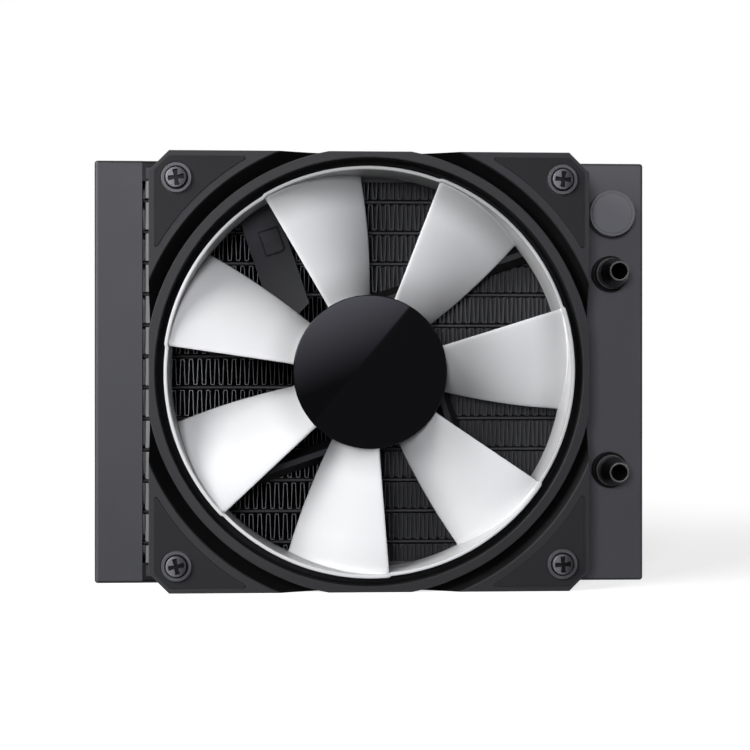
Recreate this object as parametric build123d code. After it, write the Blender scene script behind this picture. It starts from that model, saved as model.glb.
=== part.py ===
from build123d import *
import math
import os

# A liquid cooler's radiator with its 120 mm fan, in millimetres.
# X runs along the radiator, Y goes from the front to the back, and Z is up.
# The origin is the centre of the four rear case holes, on the radiator's back face and the fan's axis.

# Radiator core and tanks
radiator_depth = 27.0
core_past_fan = 3.6
left_tank_width = 13.5
right_tank_width = 19.9
tank_wall = 1.5
tank_edge_radius = 0.9
header_thickness = 1.5
header_recess = 1.0
baffle_thickness = 1.5

# Flat tubes and folded fins
tube_count = 12
outer_tube_inset = 11.27
tube_thickness = 1.4
tube_setback = 2.6
tube_wall = 0.35
tube_reach = 1.5
fin_pitch = 2.43
fin_sheet = 0.12
fin_setback = 1.5
fin_end_gap = 0.8

# Side plates, folded channels along the top and the bottom
side_plate_thickness = 1.2
side_plate_flange = 5.8
side_plate_bend = 1.1
tab_width = 11.0
tab_below_hole = 3.2
thread_radius = 1.5
fin_relief_gap = 0.7
fin_relief_past_screw = 1.0

# Hose fittings and fill cap on the right tank
fitting_below_cap = 17.0
fitting_height = 16.5
fitting_bore_radius = 2.26
fitting_flange_radius = 5.15
fitting_flange_height = 2.6
fitting_neck_radius = 3.9
fitting_neck_length = 1.6
fitting_collar_radius = 4.45
fitting_collar_length = 1.1
fitting_body_radius = 4.1
fitting_body_length = 3.7
fitting_tip_wall = 0.47
fitting_spigot_wall = 1.14
fitting_spigot_length = 3.2
cap_inset = 14.9
cap_radius = 6.5
cap_height = 6.0
cap_edge_radius = 0.7
cap_plug_radius = 3.2
cap_plug_length = 4.0
seal_width = 2.0
seal_thickness = 1.0

# Fan frame. The radiator is as high as the fan.
fan_size = 120.0
fan_depth = 25.0
hole_inset = 7.5
hole_radius = 2.15
corner_chamfer = 5.5
side_wall = 3.0
barrel_wall = 4.05
inlet_step = 1.4
inlet_depth = 10.0
inlet_taper = 4.0
edge_break = 0.2
groove_width = 3.75
groove_floor_width = 0.25
groove_depth = 5.4
flange_thickness = 6.5
boss_margin = 0.3
pad_proud = 0.3
pad_thickness = 1.9
pad_groove_margin = 2.15
pad_edge_margin = 1.45
pad_chamfer_margin = 1.0
pad_tip_radius = 0.5

# Struts, cable arm and motor base at the back of the frame
strut_count = 4
strut_angle = 18.7
strut_inset = 2.2
strut_width = 5.6
strut_crest = 1.5
strut_depth = 5.1
arm_index = 1
arm_neck_inset = 0.6
arm_neck_width = 6.5
arm_neck_length = 2.1
arm_taper_length = 1.8
arm_left_shoulder = 1.1
arm_right_shoulder = 3.5
arm_wall = 1.4
wire_hole_margin = 4.9
panel_margin = 1.4
panel_width = 6.1
panel_length = 7.5
panel_from_bore = 9.9
panel_groove = 0.5
panel_groove_depth = 0.8
panel_corner_radius = 1.5
base_inset = 0.8
base_thickness = 3.0
base_rim = 1.0

# Rotor
tip_gap = 0.95
ring_wall = 1.05
ring_setback = 0.8
rotor_gap = 1.0
hub_radius = 20.6
hub_wall = 1.0
hub_front_wall = 1.4
hub_setback = 1.4
hub_boss_wall = 1.5
hub_boss_length = 2.0
hub_cap_overhang = 0.4
hub_cap_thickness = 1.0
hub_cap_register_rim = 3.6
hub_cap_register = 0.5
hub_cap_round = 0.3
blade_count = 7
blade_first_angle = 18.3
blade_middle_lag = 15.3
blade_setback = 1.1
blade_back_setback = 0.7
blade_camber = 2.0
blade_thickness = 1.7
blade_edge = 0.8
blade_root_depth = 3.0
# Where a blade's two edges cross the axis plane, and how fast they spread with the radius
lead_offset = 0.8
lead_spread = 0.2587
trail_offset = -1.94
trail_spread = -0.2111

# Motor inside the hub
shaft_radius = 1.5
shaft_cover = 0.2
bearing_wall = 2.0
bearing_setback = 1.5
bearing_tube_wall = 1.1
bearing_tube_embed = 2.0
thrust_pad_thickness = 0.7
clip_overhang = 1.1
clip_thickness = 0.35
clip_groove_depth = 0.4
clip_setback = 0.35
yoke_wall = 0.9
yoke_setback = 0.5
magnet_wall = 1.8
magnet_setback = 2.0
magnet_back_setback = 1.1
air_gap = 0.5
stator_setback = 4.5
stator_hub_wall = 2.6
stator_arm_width = 4.0
stator_tip_depth = 2.2
stator_slot = 3.0
coil_thickness = 2.0
coil_board_gap = 2.1
former_thickness = 0.8
board_thickness = 1.0

# Screws and their cup washers
screw_head_radius = 2.8
screw_head_height = 1.7
screw_head_round = 0.6
screw_length = 30.0
screw_cross_length = 4.1
screw_cross_width = 0.95
screw_cross_depth = 0.9
washer_head_gap = 0.38
washer_rim_width = 0.9
washer_base = 0.4
washer_height = 1.1

# Clearances
braze_gap = 0.03
press_gap = 0.01
running_gap = 0.03
seat_gap = 0.05
thread_gap = 0.05
pad_gap = 0.05
board_gap = 0.3
thrust_gap = 0.1

# Radiator places worked out from the sizes above
radiator_front = -radiator_depth
half_height = fan_size / 2
half_pitch = fan_size / 2 - hole_inset
core_right = fan_size / 2
core_left = -fan_size / 2 - core_past_fan
left_end = core_left - left_tank_width
right_end = core_right + right_tank_width
tube_pitch = 2 * (half_height - outer_tube_inset) / (tube_count - 1)
tube_depth = radiator_depth - 2 * tube_setback
tube_end_reach = header_recess + header_thickness + tube_reach
port_x = core_right + right_tank_width / 2
cap_rise = half_height - cap_inset
fitting_rise = cap_rise - fitting_below_cap
spigot_radius = fitting_bore_radius + fitting_spigot_wall

# Fan frame places
frame_back = radiator_front - pad_proud
frame_front = radiator_front - fan_depth + pad_proud
bore_radius = fan_size / 2 - side_wall
inlet_radius = bore_radius + inlet_step
barrel_radius = bore_radius + barrel_wall
groove_radius = barrel_radius + groove_width
pad_inner_radius = groove_radius + pad_groove_margin
wall_middle = (bore_radius + barrel_radius) / 2
washer_rim_inner = screw_head_radius + washer_head_gap
washer_radius = washer_rim_inner + washer_rim_width
washer_front = frame_front - washer_base
boss_radius = washer_radius + boss_margin
screw_tip = washer_front + screw_length
strut_front = frame_back - strut_depth
base_radius = hub_radius - base_inset
base_front = frame_back - base_thickness
strut_offset = base_radius - strut_inset
arm_neck_left = base_radius - arm_neck_inset
arm_neck_right = arm_neck_left - arm_neck_width
arm_neck_start = base_radius + arm_neck_length
arm_start = arm_neck_start + arm_taper_length
arm_left = arm_neck_left + arm_left_shoulder
arm_right = arm_neck_right - arm_right_shoulder

# Rotor places
ring_radius = bore_radius - tip_gap
ring_front = frame_front + ring_setback
rotor_back = strut_front - rotor_gap
blade_front = ring_front + blade_setback
blade_back = rotor_back - blade_back_setback
hub_front = frame_front + hub_setback
hub_inner_front = hub_front + hub_front_wall
hub_boss_radius = shaft_radius + hub_boss_wall
hub_boss_back = hub_inner_front + hub_boss_length
hub_register_radius = hub_radius - hub_cap_register_rim
shaft_front = hub_front + hub_cap_register + shaft_cover

# Motor places, from the base forwards and from the hub inwards
socket_floor = base_front + bearing_tube_embed
thrust_face = socket_floor - thrust_pad_thickness
shaft_tip = thrust_face - thrust_gap
clip_back = shaft_tip - clip_setback
clip_front = clip_back - clip_thickness
bearing_back = clip_front - thrust_gap
bearing_front = hub_boss_back + bearing_setback
bearing_radius = shaft_radius + bearing_wall
bearing_tube_radius = bearing_radius + bearing_tube_wall
board_back = base_front - board_gap
board_front = board_back - board_thickness
yoke_radius = hub_radius - hub_wall - press_gap
magnet_radius = yoke_radius - yoke_wall - press_gap
stator_radius = magnet_radius - magnet_wall - air_gap
stator_bore = bearing_tube_radius + press_gap
stator_front = hub_inner_front + yoke_wall + stator_setback
stator_back = board_front - coil_board_gap - coil_thickness - press_gap - former_thickness


def facing(y):
    """A plane across the fan's axis at depth y, seen from the front: x right, y up."""
    return Plane(origin=(0, y, 0), x_dir=(1, 0, 0), z_dir=(0, -1, 0))


def slab(sketch, front, back):
    """A flat outline given depth, from its front to its back."""
    return extrude(facing(back) * sketch, amount=back - front)


def block(x_low, x_high, front, back, z_low, z_high):
    """A plain block between two limits on each axis."""
    centre = ((x_low + x_high) / 2, (front + back) / 2, (z_low + z_high) / 2)
    return Pos(*centre) * Box(x_high - x_low, back - front, z_high - z_low)


def turned(*points):
    """A body of revolution about Y, from an outline of (radius, depth) points."""
    return revolve(make_face(Polyline(*points, close=True)), axis=Axis.Y)


def tube(inner, outer, front, back):
    """A plain ring or bush about Y."""
    return slab(Circle(outer) - Circle(inner), front, back)


def disc(radius, front, back):
    """A plain disc about Y."""
    return slab(Circle(radius), front, back)


def at_holes(shape):
    """The same shape at each of the four screw holes."""
    return [Pos(x, 0, z) * shape for x in (-half_pitch, half_pitch) for z in (-half_pitch, half_pitch)]


def tube_heights():
    """The height of each flat tube, evenly spaced about the middle."""
    return [(i - (tube_count - 1) / 2) * tube_pitch for i in range(tube_count)]


# Tanks
def tank(x_low, x_high, mouth):
    """A drawn tank: a box with rounded edges, open to the right (mouth 1) or to the left (mouth -1)."""
    shell = block(x_low, x_high, radiator_front, 0, -half_height, half_height)
    open_face = shell.faces().sort_by(Axis.X)[-1 if mouth > 0 else 0]
    kept_sharp = open_face.edges()
    shell = fillet([edge for edge in shell.edges() if edge not in kept_sharp], tank_edge_radius)
    hollow = block(
        x_low,
        x_high,
        radiator_front + tank_wall,
        -tank_wall,
        -half_height + tank_wall,
        half_height - tank_wall,
    )
    return shell - Pos(mouth * tank_wall, 0, 0) * hollow


def left_tank():
    return tank(left_end, core_left, 1)


def right_tank():
    """The tank with two ports and the filler hole through its front wall."""
    body = tank(core_right, right_end, -1)
    port = disc(spigot_radius + seat_gap, radiator_front - tank_wall, radiator_front + 2 * tank_wall)
    filler = disc(cap_plug_radius + seat_gap, radiator_front - tank_wall, radiator_front + 2 * tank_wall)
    for z in (fitting_rise, -fitting_rise):
        body -= Pos(port_x, 0, z) * port
    return body - Pos(port_x, 0, cap_rise) * filler


def header(x_low):
    """A header plate inside a tank's mouth, with a slot for each flat tube."""
    gap = tank_wall + braze_gap
    x_high = x_low + header_thickness
    plate = block(x_low, x_high, radiator_front + gap, -gap, -half_height + gap, half_height - gap)
    return plate - [Pos(0, 0, z) * tube_bar(braze_gap) for z in tube_heights()]


def left_header():
    return header(core_left - header_recess - header_thickness)


def right_header():
    return header(core_right + header_recess)


def tank_baffle():
    """The wall across the right tank that sends the liquid through the upper tubes and back below."""
    gap = tank_wall + braze_gap
    return block(
        core_right + tube_end_reach,
        right_end - gap,
        radiator_front + gap,
        -gap,
        -baffle_thickness / 2,
        baffle_thickness / 2,
    )


# Core
def tube_bar(growth):
    """A flat tube's outer form at height 0, rounded front and back, through both headers."""
    x_low = core_left - tube_end_reach
    x_high = core_right + tube_end_reach
    section = Plane(origin=(x_low, radiator_front / 2, 0), x_dir=(0, 1, 0), z_dir=(1, 0, 0))
    outline = SlotOverall(tube_depth + 2 * growth, tube_thickness + 2 * growth)
    return extrude(section * outline, amount=x_high - x_low)


def flat_tube(z):
    """A flat tube with one wide channel through it."""
    nose = tube_thickness / 2
    channel = block(
        core_left - 2 * tube_end_reach,
        core_right + 2 * tube_end_reach,
        radiator_front / 2 - tube_depth / 2 + nose,
        radiator_front / 2 + tube_depth / 2 - nose,
        -tube_thickness / 2 + tube_wall,
        tube_thickness / 2 - tube_wall,
    )
    return Pos(0, 0, z) * (tube_bar(0) - channel)


def fin_strip(z_low, z_high):
    """One folded fin strip between two heights: a zigzag sheet as deep as the core."""
    x_low = core_left + fin_end_gap
    x_high = core_right - fin_end_gap
    waves = round((x_high - x_low) / fin_pitch)
    half_wave = (x_high - x_low) / waves / 2
    height = z_high - z_low
    # The lower side of the sheet is the upper side moved down by its thickness on the slope.
    drop = fin_sheet * math.hypot(half_wave, height) / half_wave
    upper = [(x_low + i * half_wave, z_high if i % 2 else z_low + drop) for i in range(2 * waves + 1)]
    lower = [(x, z - drop) for x, z in reversed(upper)]
    outline = make_face(Polyline(*upper, *lower, close=True))
    return slab(outline, radiator_front + fin_setback, -fin_setback)


def fin_rows():
    """Every fin strip from the bottom up. The outer two reach the side plates, round the screws' tips."""
    edge = half_height - side_plate_thickness - braze_gap
    reach = tube_thickness / 2 + braze_gap
    heights = tube_heights()
    lows = [-edge] + [z + reach for z in heights]
    highs = [z - reach for z in heights] + [edge]
    strips = [fin_strip(low, high) for low, high in zip(lows, highs)]
    relief_depth = screw_tip + fin_relief_past_screw - radiator_front
    relief_radius = thread_radius + fin_relief_gap
    relief = at_holes(disc(relief_radius, radiator_front, radiator_front + relief_depth))
    relief += at_holes(disc(relief_radius, -relief_depth, 0))
    strips[0] -= relief
    strips[-1] -= relief
    return strips


def side_plate(side):
    """A folded channel along the top or bottom, with a threaded tab at each screw hole."""
    outer = block(
        core_left + braze_gap,
        core_right - braze_gap,
        radiator_front,
        0,
        half_height - side_plate_flange,
        half_height,
    )
    bends = outer.edges().filter_by(Axis.X).group_by(Axis.Z)[-1]
    outer = fillet(bends, side_plate_bend)
    for x in (-half_pitch, half_pitch):
        foot = half_pitch - tab_below_hole
        low = max(x - tab_width / 2, core_left + fin_end_gap)
        high = min(x + tab_width / 2, core_right - fin_end_gap)
        tab = block(low, high, radiator_front, 0, foot, half_height - side_plate_bend)
        outer += tab
    inside = block(
        core_left - side_plate_thickness,
        core_right + side_plate_thickness,
        radiator_front + side_plate_thickness,
        -side_plate_thickness,
        half_pitch - 2 * tab_below_hole,
        half_height - side_plate_thickness,
    )
    outer -= inside
    past = side_plate_thickness
    outer -= at_holes(disc(thread_radius, radiator_front - past, past))
    return outer if side > 0 else mirror(outer, about=Plane.XY)


# Hose fittings and filler
def fitting():
    """A hose barb with a base flange, a collar, a tapered nose and a spigot into the tank."""
    face = radiator_front
    neck = face - fitting_flange_height
    collar = neck - fitting_neck_length
    body = collar - fitting_collar_length
    tip = face - fitting_height
    outline = (
        (fitting_bore_radius, face + fitting_spigot_length),
        (spigot_radius, face + fitting_spigot_length),
        (spigot_radius, face),
        (fitting_flange_radius, face),
        (fitting_flange_radius, neck),
        (fitting_neck_radius, neck),
        (fitting_neck_radius, collar),
        (fitting_collar_radius, collar),
        (fitting_collar_radius, body),
        (fitting_body_radius, body),
        (fitting_body_radius, body - fitting_body_length),
        (fitting_bore_radius + fitting_tip_wall, tip),
        (fitting_bore_radius, tip),
    )
    return turned(*outline)


def fill_cap():
    """The filler's round cap, with a plug into the tank and a seat for its seal."""
    face = radiator_front - seal_thickness
    head = disc(cap_radius, radiator_front - cap_height, face)
    rim = head.edges().sort_by(Axis.Y)[0]
    head = fillet(rim, cap_edge_radius)
    return head + disc(cap_plug_radius, face, radiator_front + cap_plug_length)


def fill_seal():
    inner = cap_plug_radius + seat_gap
    return tube(inner, inner + seal_width, radiator_front - seal_thickness, radiator_front)


# Fan frame
def frame_outline(margin, chamfer_margin):
    """The frame's square with cut corners, drawn inwards by a margin."""
    half = fan_size / 2 - margin
    # The cut corner's distance from the centre, across the diagonal
    cut = (fan_size - corner_chamfer) / math.sqrt(2) - chamfer_margin
    inner = cut * math.sqrt(2) - half
    points = [(half, inner), (inner, half), (-inner, half), (-half, inner)]
    points += [(-x, -z) for x, z in points]
    return make_face(Polyline(*points, close=True))


def pad_outline(gap):
    """One corner pad's outline, with a hole round the screw boss."""
    whole = frame_outline(pad_edge_margin + gap, pad_chamfer_margin + gap)
    corner = Pos(fan_size / 2, fan_size / 2) * Rectangle(fan_size, fan_size)
    region = whole & corner
    region -= Circle(pad_inner_radius + gap)
    tips = region.vertices().sort_by_distance((0, 0, 0))[:2]
    return fillet(tips, pad_tip_radius) - Pos(half_pitch, half_pitch) * Circle(boss_radius + gap)


def four_pads(gap, front, back):
    """The pad outline given depth in each corner."""
    pad = slab(pad_outline(gap), front, back)
    return [Rot(0, 90 * i, 0) * pad for i in range(4)]


def inlet_and_bore():
    """What the air passes through: a wide inlet round the rotor's ring, and the narrower bore behind it."""
    over = frame_front - pad_proud
    step = frame_front + inlet_depth
    return turned(
        (0, over),
        (inlet_radius + edge_break, over),
        (inlet_radius + edge_break, frame_front),
        (inlet_radius, frame_front + edge_break),
        (inlet_radius, step),
        (bore_radius, step + inlet_taper),
        (bore_radius, frame_back + pad_proud),
        (0, frame_back + pad_proud),
    )


def barrel():
    """The square moulding with its bore, front groove and open flanges."""
    body = slab(frame_outline(0, 0), frame_front, frame_back)
    edges = body.edges().group_by(Axis.Y)
    body = chamfer(edges[0] + edges[-1], edge_break)
    body -= inlet_and_bore()
    over = frame_front - pad_proud
    body -= turned(
        (barrel_radius - edge_break, over),
        (groove_radius + edge_break, over),
        (groove_radius + edge_break, frame_front),
        (groove_radius, frame_front + edge_break),
        (barrel_radius + groove_floor_width, frame_front + groove_depth),
        (barrel_radius, frame_front + groove_depth),
        (barrel_radius, frame_front + edge_break),
        (barrel_radius - edge_break, frame_front),
    )
    body -= tube(barrel_radius, fan_size, frame_front + flange_thickness, frame_back - flange_thickness)
    body += at_holes(disc(boss_radius, frame_front + flange_thickness, frame_back - flange_thickness))
    body -= at_holes(disc(hole_radius, frame_front - pad_proud, frame_back + pad_proud))
    pocket = pad_thickness - pad_proud
    body -= four_pads(0, frame_front - pad_proud, frame_front + pocket)
    body -= four_pads(0, frame_back - pocket, frame_back + pad_proud)
    return body


def strut_direction(index):
    """Which way a strut runs outwards, and which way its distance from the axis is counted."""
    angle = math.radians(strut_angle + index * 360 / strut_count)
    outwards = (math.cos(angle), 0, math.sin(angle))
    sideways = (-math.sin(angle), 0, math.cos(angle))
    return outwards, sideways


def strut(index):
    """A ridge-shaped strut that leaves the motor base along a tangent and ends in the barrel's wall."""
    outwards, sideways = strut_direction(index)
    # Across the strut, x is the distance from the axis and y is forwards.
    across = Plane(origin=(0, frame_back, 0), x_dir=sideways, z_dir=outwards)
    half = strut_width / 2
    crest = strut_crest / 2
    section = Polyline((-half, 0), (half, 0), (crest, strut_depth), (-crest, strut_depth), close=True)
    profile = Pos(strut_offset, 0) * make_face(section)
    bar = extrude(across * profile, amount=wall_middle)
    return bar & disc(wall_middle, strut_front, frame_back)


def on_arm(outline, sink, depth):
    """An outline drawn on the cable arm, x from the axis and y outwards, given depth backwards."""
    sideways = strut_direction(arm_index)[1]
    front = Plane(origin=(0, strut_front + sink, 0), x_dir=sideways, z_dir=(0, 1, 0))
    return extrude(front * outline, amount=depth)


def arm_box(right, left, start, end):
    """A rectangle on the cable arm, between two offsets and two distances outwards."""
    return Pos((right + left) / 2, (start + end) / 2) * Rectangle(left - right, end - start)


def cable_arm():
    """The wide arm for the motor's wires, with cut corners where it narrows to its neck."""
    outline = Polyline(
        (arm_neck_right, 0),
        (arm_neck_right, arm_neck_start),
        (arm_right, arm_start),
        (arm_right, wall_middle),
        (arm_left, wall_middle),
        (arm_left, arm_start),
        (arm_neck_left, arm_neck_start),
        (arm_neck_left, 0),
        close=True,
    )
    arm = on_arm(make_face(outline), 0, strut_depth)
    return arm & disc(wall_middle, strut_front, frame_back)


def wire_channel():
    """The wires' way from the motor base to the frame's edge, open at the back."""
    start = bearing_tube_radius + wire_hole_margin
    outline = arm_box(arm_neck_right + arm_wall, arm_neck_left - arm_wall, start, fan_size)
    return on_arm(outline, arm_wall, strut_depth)


def arm_panel():
    """The shallow groove that outlines a small panel on the cable arm's front."""
    right = arm_right + panel_margin
    end = bore_radius - panel_from_bore
    outer = arm_box(right, right + panel_width, end - panel_length, end)
    outer = fillet(outer.vertices().sort_by_distance((0, 0, 0))[0], panel_corner_radius)
    inner = offset(outer, amount=-panel_groove, kind=Kind.INTERSECTION)
    return on_arm(outer - inner, 0, panel_groove_depth)


def fan_frame():
    """The whole frame as moulded: barrel, struts, cable arm and motor base in one piece."""
    body = barrel() + cable_arm()
    body += [strut(i) for i in range(strut_count) if i != arm_index]
    body += disc(base_radius, strut_front, frame_back)
    body -= disc(base_radius - base_rim, strut_front - base_rim, base_front)
    body -= disc(bearing_tube_radius + press_gap, base_front - base_rim, socket_floor)
    return body - wire_channel() - arm_panel()


def front_pads():
    return four_pads(pad_gap, frame_front - pad_proud, frame_front - pad_proud + pad_thickness)


def rear_pads():
    return four_pads(pad_gap, frame_back + pad_proud - pad_thickness, frame_back + pad_proud)


# Screws
def screw():
    """A pan-head screw with a crossed recess, through the fan into the side plate's tab."""
    head = disc(screw_head_radius, washer_front - screw_head_height, washer_front)
    head = fillet(head.edges().sort_by(Axis.Y)[0], screw_head_round)
    shank = disc(thread_radius - thread_gap, washer_front, washer_front + screw_length)
    slot = Rectangle(screw_cross_length, screw_cross_width)
    cross = slot + Rot(0, 0, 90) * slot
    top = washer_front - screw_head_height
    return head + shank - slab(cross, top - screw_cross_depth, top + screw_cross_depth)


def screw_washer():
    """A cup washer: a flat base under the head and a raised rim round it."""
    return turned(
        (hole_radius, frame_front),
        (washer_radius, frame_front),
        (washer_radius, frame_front - washer_height),
        (washer_rim_inner, frame_front - washer_height),
        (washer_rim_inner, washer_front),
        (hole_radius, washer_front),
    )


# Rotor
def blade_section(radius):
    """A blade's section across its own middle line: x is along the turning, y is the depth."""
    lead = Vector(lead_offset + lead_spread * radius, blade_front)
    trail = Vector(trail_offset + trail_spread * radius, blade_back)
    along = (trail - lead).normalized()
    # Across the chord, towards the front
    across = Vector(along.Y, -along.X)
    if across.Y > 0:
        across = -across
    middle = (lead + trail) / 2 + across * blade_camber
    half_edge = across * (blade_edge / 2)
    half_middle = across * (blade_thickness / 2)
    front_side = ThreePointArc(lead + half_edge, middle + half_middle, trail + half_edge)
    tail = Line(trail + half_edge, trail - half_edge)
    rear_side = ThreePointArc(trail - half_edge, middle - half_middle, lead - half_edge)
    nose = Line(lead - half_edge, lead + half_edge)
    # The section stands across the blade's middle line, at this distance from the axis.
    place = Plane(origin=(radius, 0, 0), x_dir=(0, 0, 1), z_dir=(-1, 0, 0))
    return place * make_face(front_side + tail + rear_side + nose)


def blade():
    """One blade on the +X side: a lofted, cambered and twisted sheet, cut to length by the ring."""
    inner = blade_section(hub_radius - blade_root_depth)
    outer = blade_section(ring_radius)
    whole = loft([inner, outer], ruled=True)
    span = tube(hub_radius - hub_wall / 2, ring_radius - ring_wall / 2, frame_front, frame_back)
    return whole & span


def impeller():
    """Hub, blades and outer ring as one moulding."""
    body = turned(
        (shaft_radius + press_gap, shaft_front),
        (shaft_radius + press_gap, hub_boss_back),
        (hub_boss_radius, hub_boss_back),
        (hub_boss_radius, hub_inner_front),
        (hub_radius - hub_wall, hub_inner_front),
        (hub_radius - hub_wall, rotor_back),
        (hub_radius, rotor_back),
        (hub_radius, hub_front),
        (hub_register_radius + seat_gap, hub_front),
        (hub_register_radius + seat_gap, hub_front + hub_cap_register),
        (0, hub_front + hub_cap_register),
        (0, shaft_front),
    )
    body += tube(ring_radius - ring_wall, ring_radius, ring_front, rotor_back)
    one = blade()
    for i in range(blade_count):
        angle = blade_first_angle - blade_middle_lag + i * 360 / blade_count
        body += Rot(0, -angle, 0) * one
    return body


def hub_cap():
    """The glossy disc over the hub, with a low register that centres it."""
    head = disc(hub_radius + hub_cap_overhang, hub_front - hub_cap_thickness, hub_front)
    head = fillet(head.edges().sort_by(Axis.Y)[0], hub_cap_round)
    return head + disc(hub_register_radius, hub_front, hub_front + hub_cap_register - press_gap)


def rotor_yoke():
    """The steel cup inside the hub that carries the magnet."""
    front = hub_inner_front + press_gap
    return turned(
        (hub_boss_radius + seat_gap, front),
        (yoke_radius, front),
        (yoke_radius, rotor_back - yoke_setback),
        (yoke_radius - yoke_wall, rotor_back - yoke_setback),
        (yoke_radius - yoke_wall, front + yoke_wall),
        (hub_boss_radius + seat_gap, front + yoke_wall),
    )


def magnet_ring():
    front = hub_inner_front + yoke_wall + magnet_setback
    return tube(magnet_radius - magnet_wall, magnet_radius, front, rotor_back - magnet_back_setback)


def shaft():
    """The steel shaft, with a groove for its clip near the tip."""
    front = shaft_front + press_gap
    waist = shaft_radius - clip_groove_depth
    return turned(
        (0, front),
        (shaft_radius, front),
        (shaft_radius, clip_front - seat_gap),
        (waist, clip_front - seat_gap),
        (waist, clip_back + seat_gap),
        (shaft_radius, clip_back + seat_gap),
        (shaft_radius, shaft_tip),
        (0, shaft_tip),
    )


def shaft_clip():
    inner = shaft_radius - clip_groove_depth + press_gap
    return tube(inner, shaft_radius + clip_overhang, clip_front, clip_back)


# Stator
def bearing_sleeve():
    return tube(shaft_radius + running_gap, bearing_radius - press_gap, bearing_front, bearing_back)


def bearing_tube():
    return tube(bearing_radius, bearing_tube_radius, bearing_front, socket_floor)


def thrust_pad():
    return disc(bearing_radius - press_gap, thrust_face, socket_floor)


def stator_plan():
    """The lamination's outline: a hub with four T-shaped poles."""
    plan = Circle(stator_bore + stator_hub_wall)
    for i in range(4):
        arm = Pos(stator_radius / 2, 0) * Rectangle(stator_radius, stator_arm_width)
        plan += Rot(0, 0, 90 * i) * arm
    shoes = Circle(stator_radius) - Circle(stator_radius - stator_tip_depth)
    gaps = Rectangle(2 * fan_size, stator_slot) + Rectangle(stator_slot, 2 * fan_size)
    plan += shoes - Rot(0, 0, 45) * gaps
    return (plan & Circle(stator_radius)) - Circle(stator_bore)


def stator_core():
    return slab(stator_plan(), stator_front, stator_back)


def coil_formers():
    """Plastic insulators on both faces of the laminations."""
    plan = stator_plan() - (Circle(stator_radius + air_gap) - Circle(stator_radius - stator_tip_depth))
    front = slab(plan, stator_front - former_thickness, stator_front)
    back = slab(plan, stator_back, stator_back + former_thickness)
    return [front, back]


def coils():
    """A winding round each pole."""
    inner_width = stator_arm_width + 2 * press_gap
    outer_width = inner_width + 2 * coil_thickness
    low = stator_bore + stator_hub_wall + seat_gap
    high = stator_radius - stator_tip_depth - seat_gap
    front = stator_front - former_thickness - press_gap
    back = stator_back + former_thickness + press_gap
    wound_front = front - coil_thickness
    wound_back = back + coil_thickness
    outer = block(low, high, wound_front, wound_back, -outer_width / 2, outer_width / 2)
    outer = fillet(outer.edges().filter_by(Axis.X), coil_thickness / 2)
    past = coil_thickness
    inner = block(low - past, high + past, front, back, -inner_width / 2, inner_width / 2)
    slot = block(0, fan_size, stator_front - fan_size, 0, -fan_size, fan_size)
    winding = (outer & slot & disc(high, stator_front - fan_size, 0)) - inner
    return [Rot(0, 90 * i, 0) * winding for i in range(4)]


def circuit_board():
    radius = base_radius - base_rim - board_gap
    return tube(bearing_tube_radius + seat_gap, radius, board_front, board_back)


def write(name, shape):
    """Writes one piece, or a group of like pieces, to its own file."""
    solids = ShapeList(shape).solids() if isinstance(shape, list) else shape.solids()
    piece = solids[0] if len(solids) == 1 else Compound(children=list(solids))
    piece.label = name
    export_step(piece, f"parts/{name}.step")


def main():
    os.makedirs("parts", exist_ok=True)
    write("left_tank", left_tank())
    write("right_tank", right_tank())
    write("left_header", left_header())
    write("right_header", right_header())
    write("tank_baffle", tank_baffle())
    write("top_side_plate", side_plate(1))
    write("bottom_side_plate", side_plate(-1))
    for number, z in enumerate(tube_heights(), 1):
        write(f"flat_tube_{number:02d}", flat_tube(z))
    for number, strip in enumerate(fin_rows(), 1):
        write(f"fin_strip_{number:02d}", strip)
    write("upper_fitting", Pos(port_x, 0, fitting_rise) * fitting())
    write("lower_fitting", Pos(port_x, 0, -fitting_rise) * fitting())
    write("fill_cap", Pos(port_x, 0, cap_rise) * fill_cap())
    write("fill_seal", Pos(port_x, 0, cap_rise) * fill_seal())
    write("fan_frame", fan_frame())
    write("front_pads", front_pads())
    write("rear_pads", rear_pads())
    write("screws", at_holes(screw()))
    write("screw_washers", at_holes(screw_washer()))
    write("impeller", impeller())
    write("hub_cap", hub_cap())
    write("rotor_yoke", rotor_yoke())
    write("magnet_ring", magnet_ring())
    write("shaft", shaft())
    write("shaft_clip", shaft_clip())
    write("bearing_sleeve", bearing_sleeve())
    write("bearing_tube", bearing_tube())
    write("thrust_pad", thrust_pad())
    write("stator_core", stator_core())
    write("coil_formers", coil_formers())
    write("coils", coils())
    write("circuit_board", circuit_board())


main()
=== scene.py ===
# %% [markdown]
# # A radiator with its fan, seen from the front
#
# The real object is the heat exchanger of a liquid cooler: two flat metal tanks, a core of flat tubes and
# folded fins between them, and a 120 mm fan screwed to the front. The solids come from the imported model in
# metres, with X to the right, Y away from the viewer and Z up. This script gives them their finish, and it
# makes again the pieces whose look needs finer forms than the solids have: thin folded sheet, rounded edges,
# smooth blades. Everything here is worked out from a few sizes in millimetres.

# %% Load the model
import math

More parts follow.
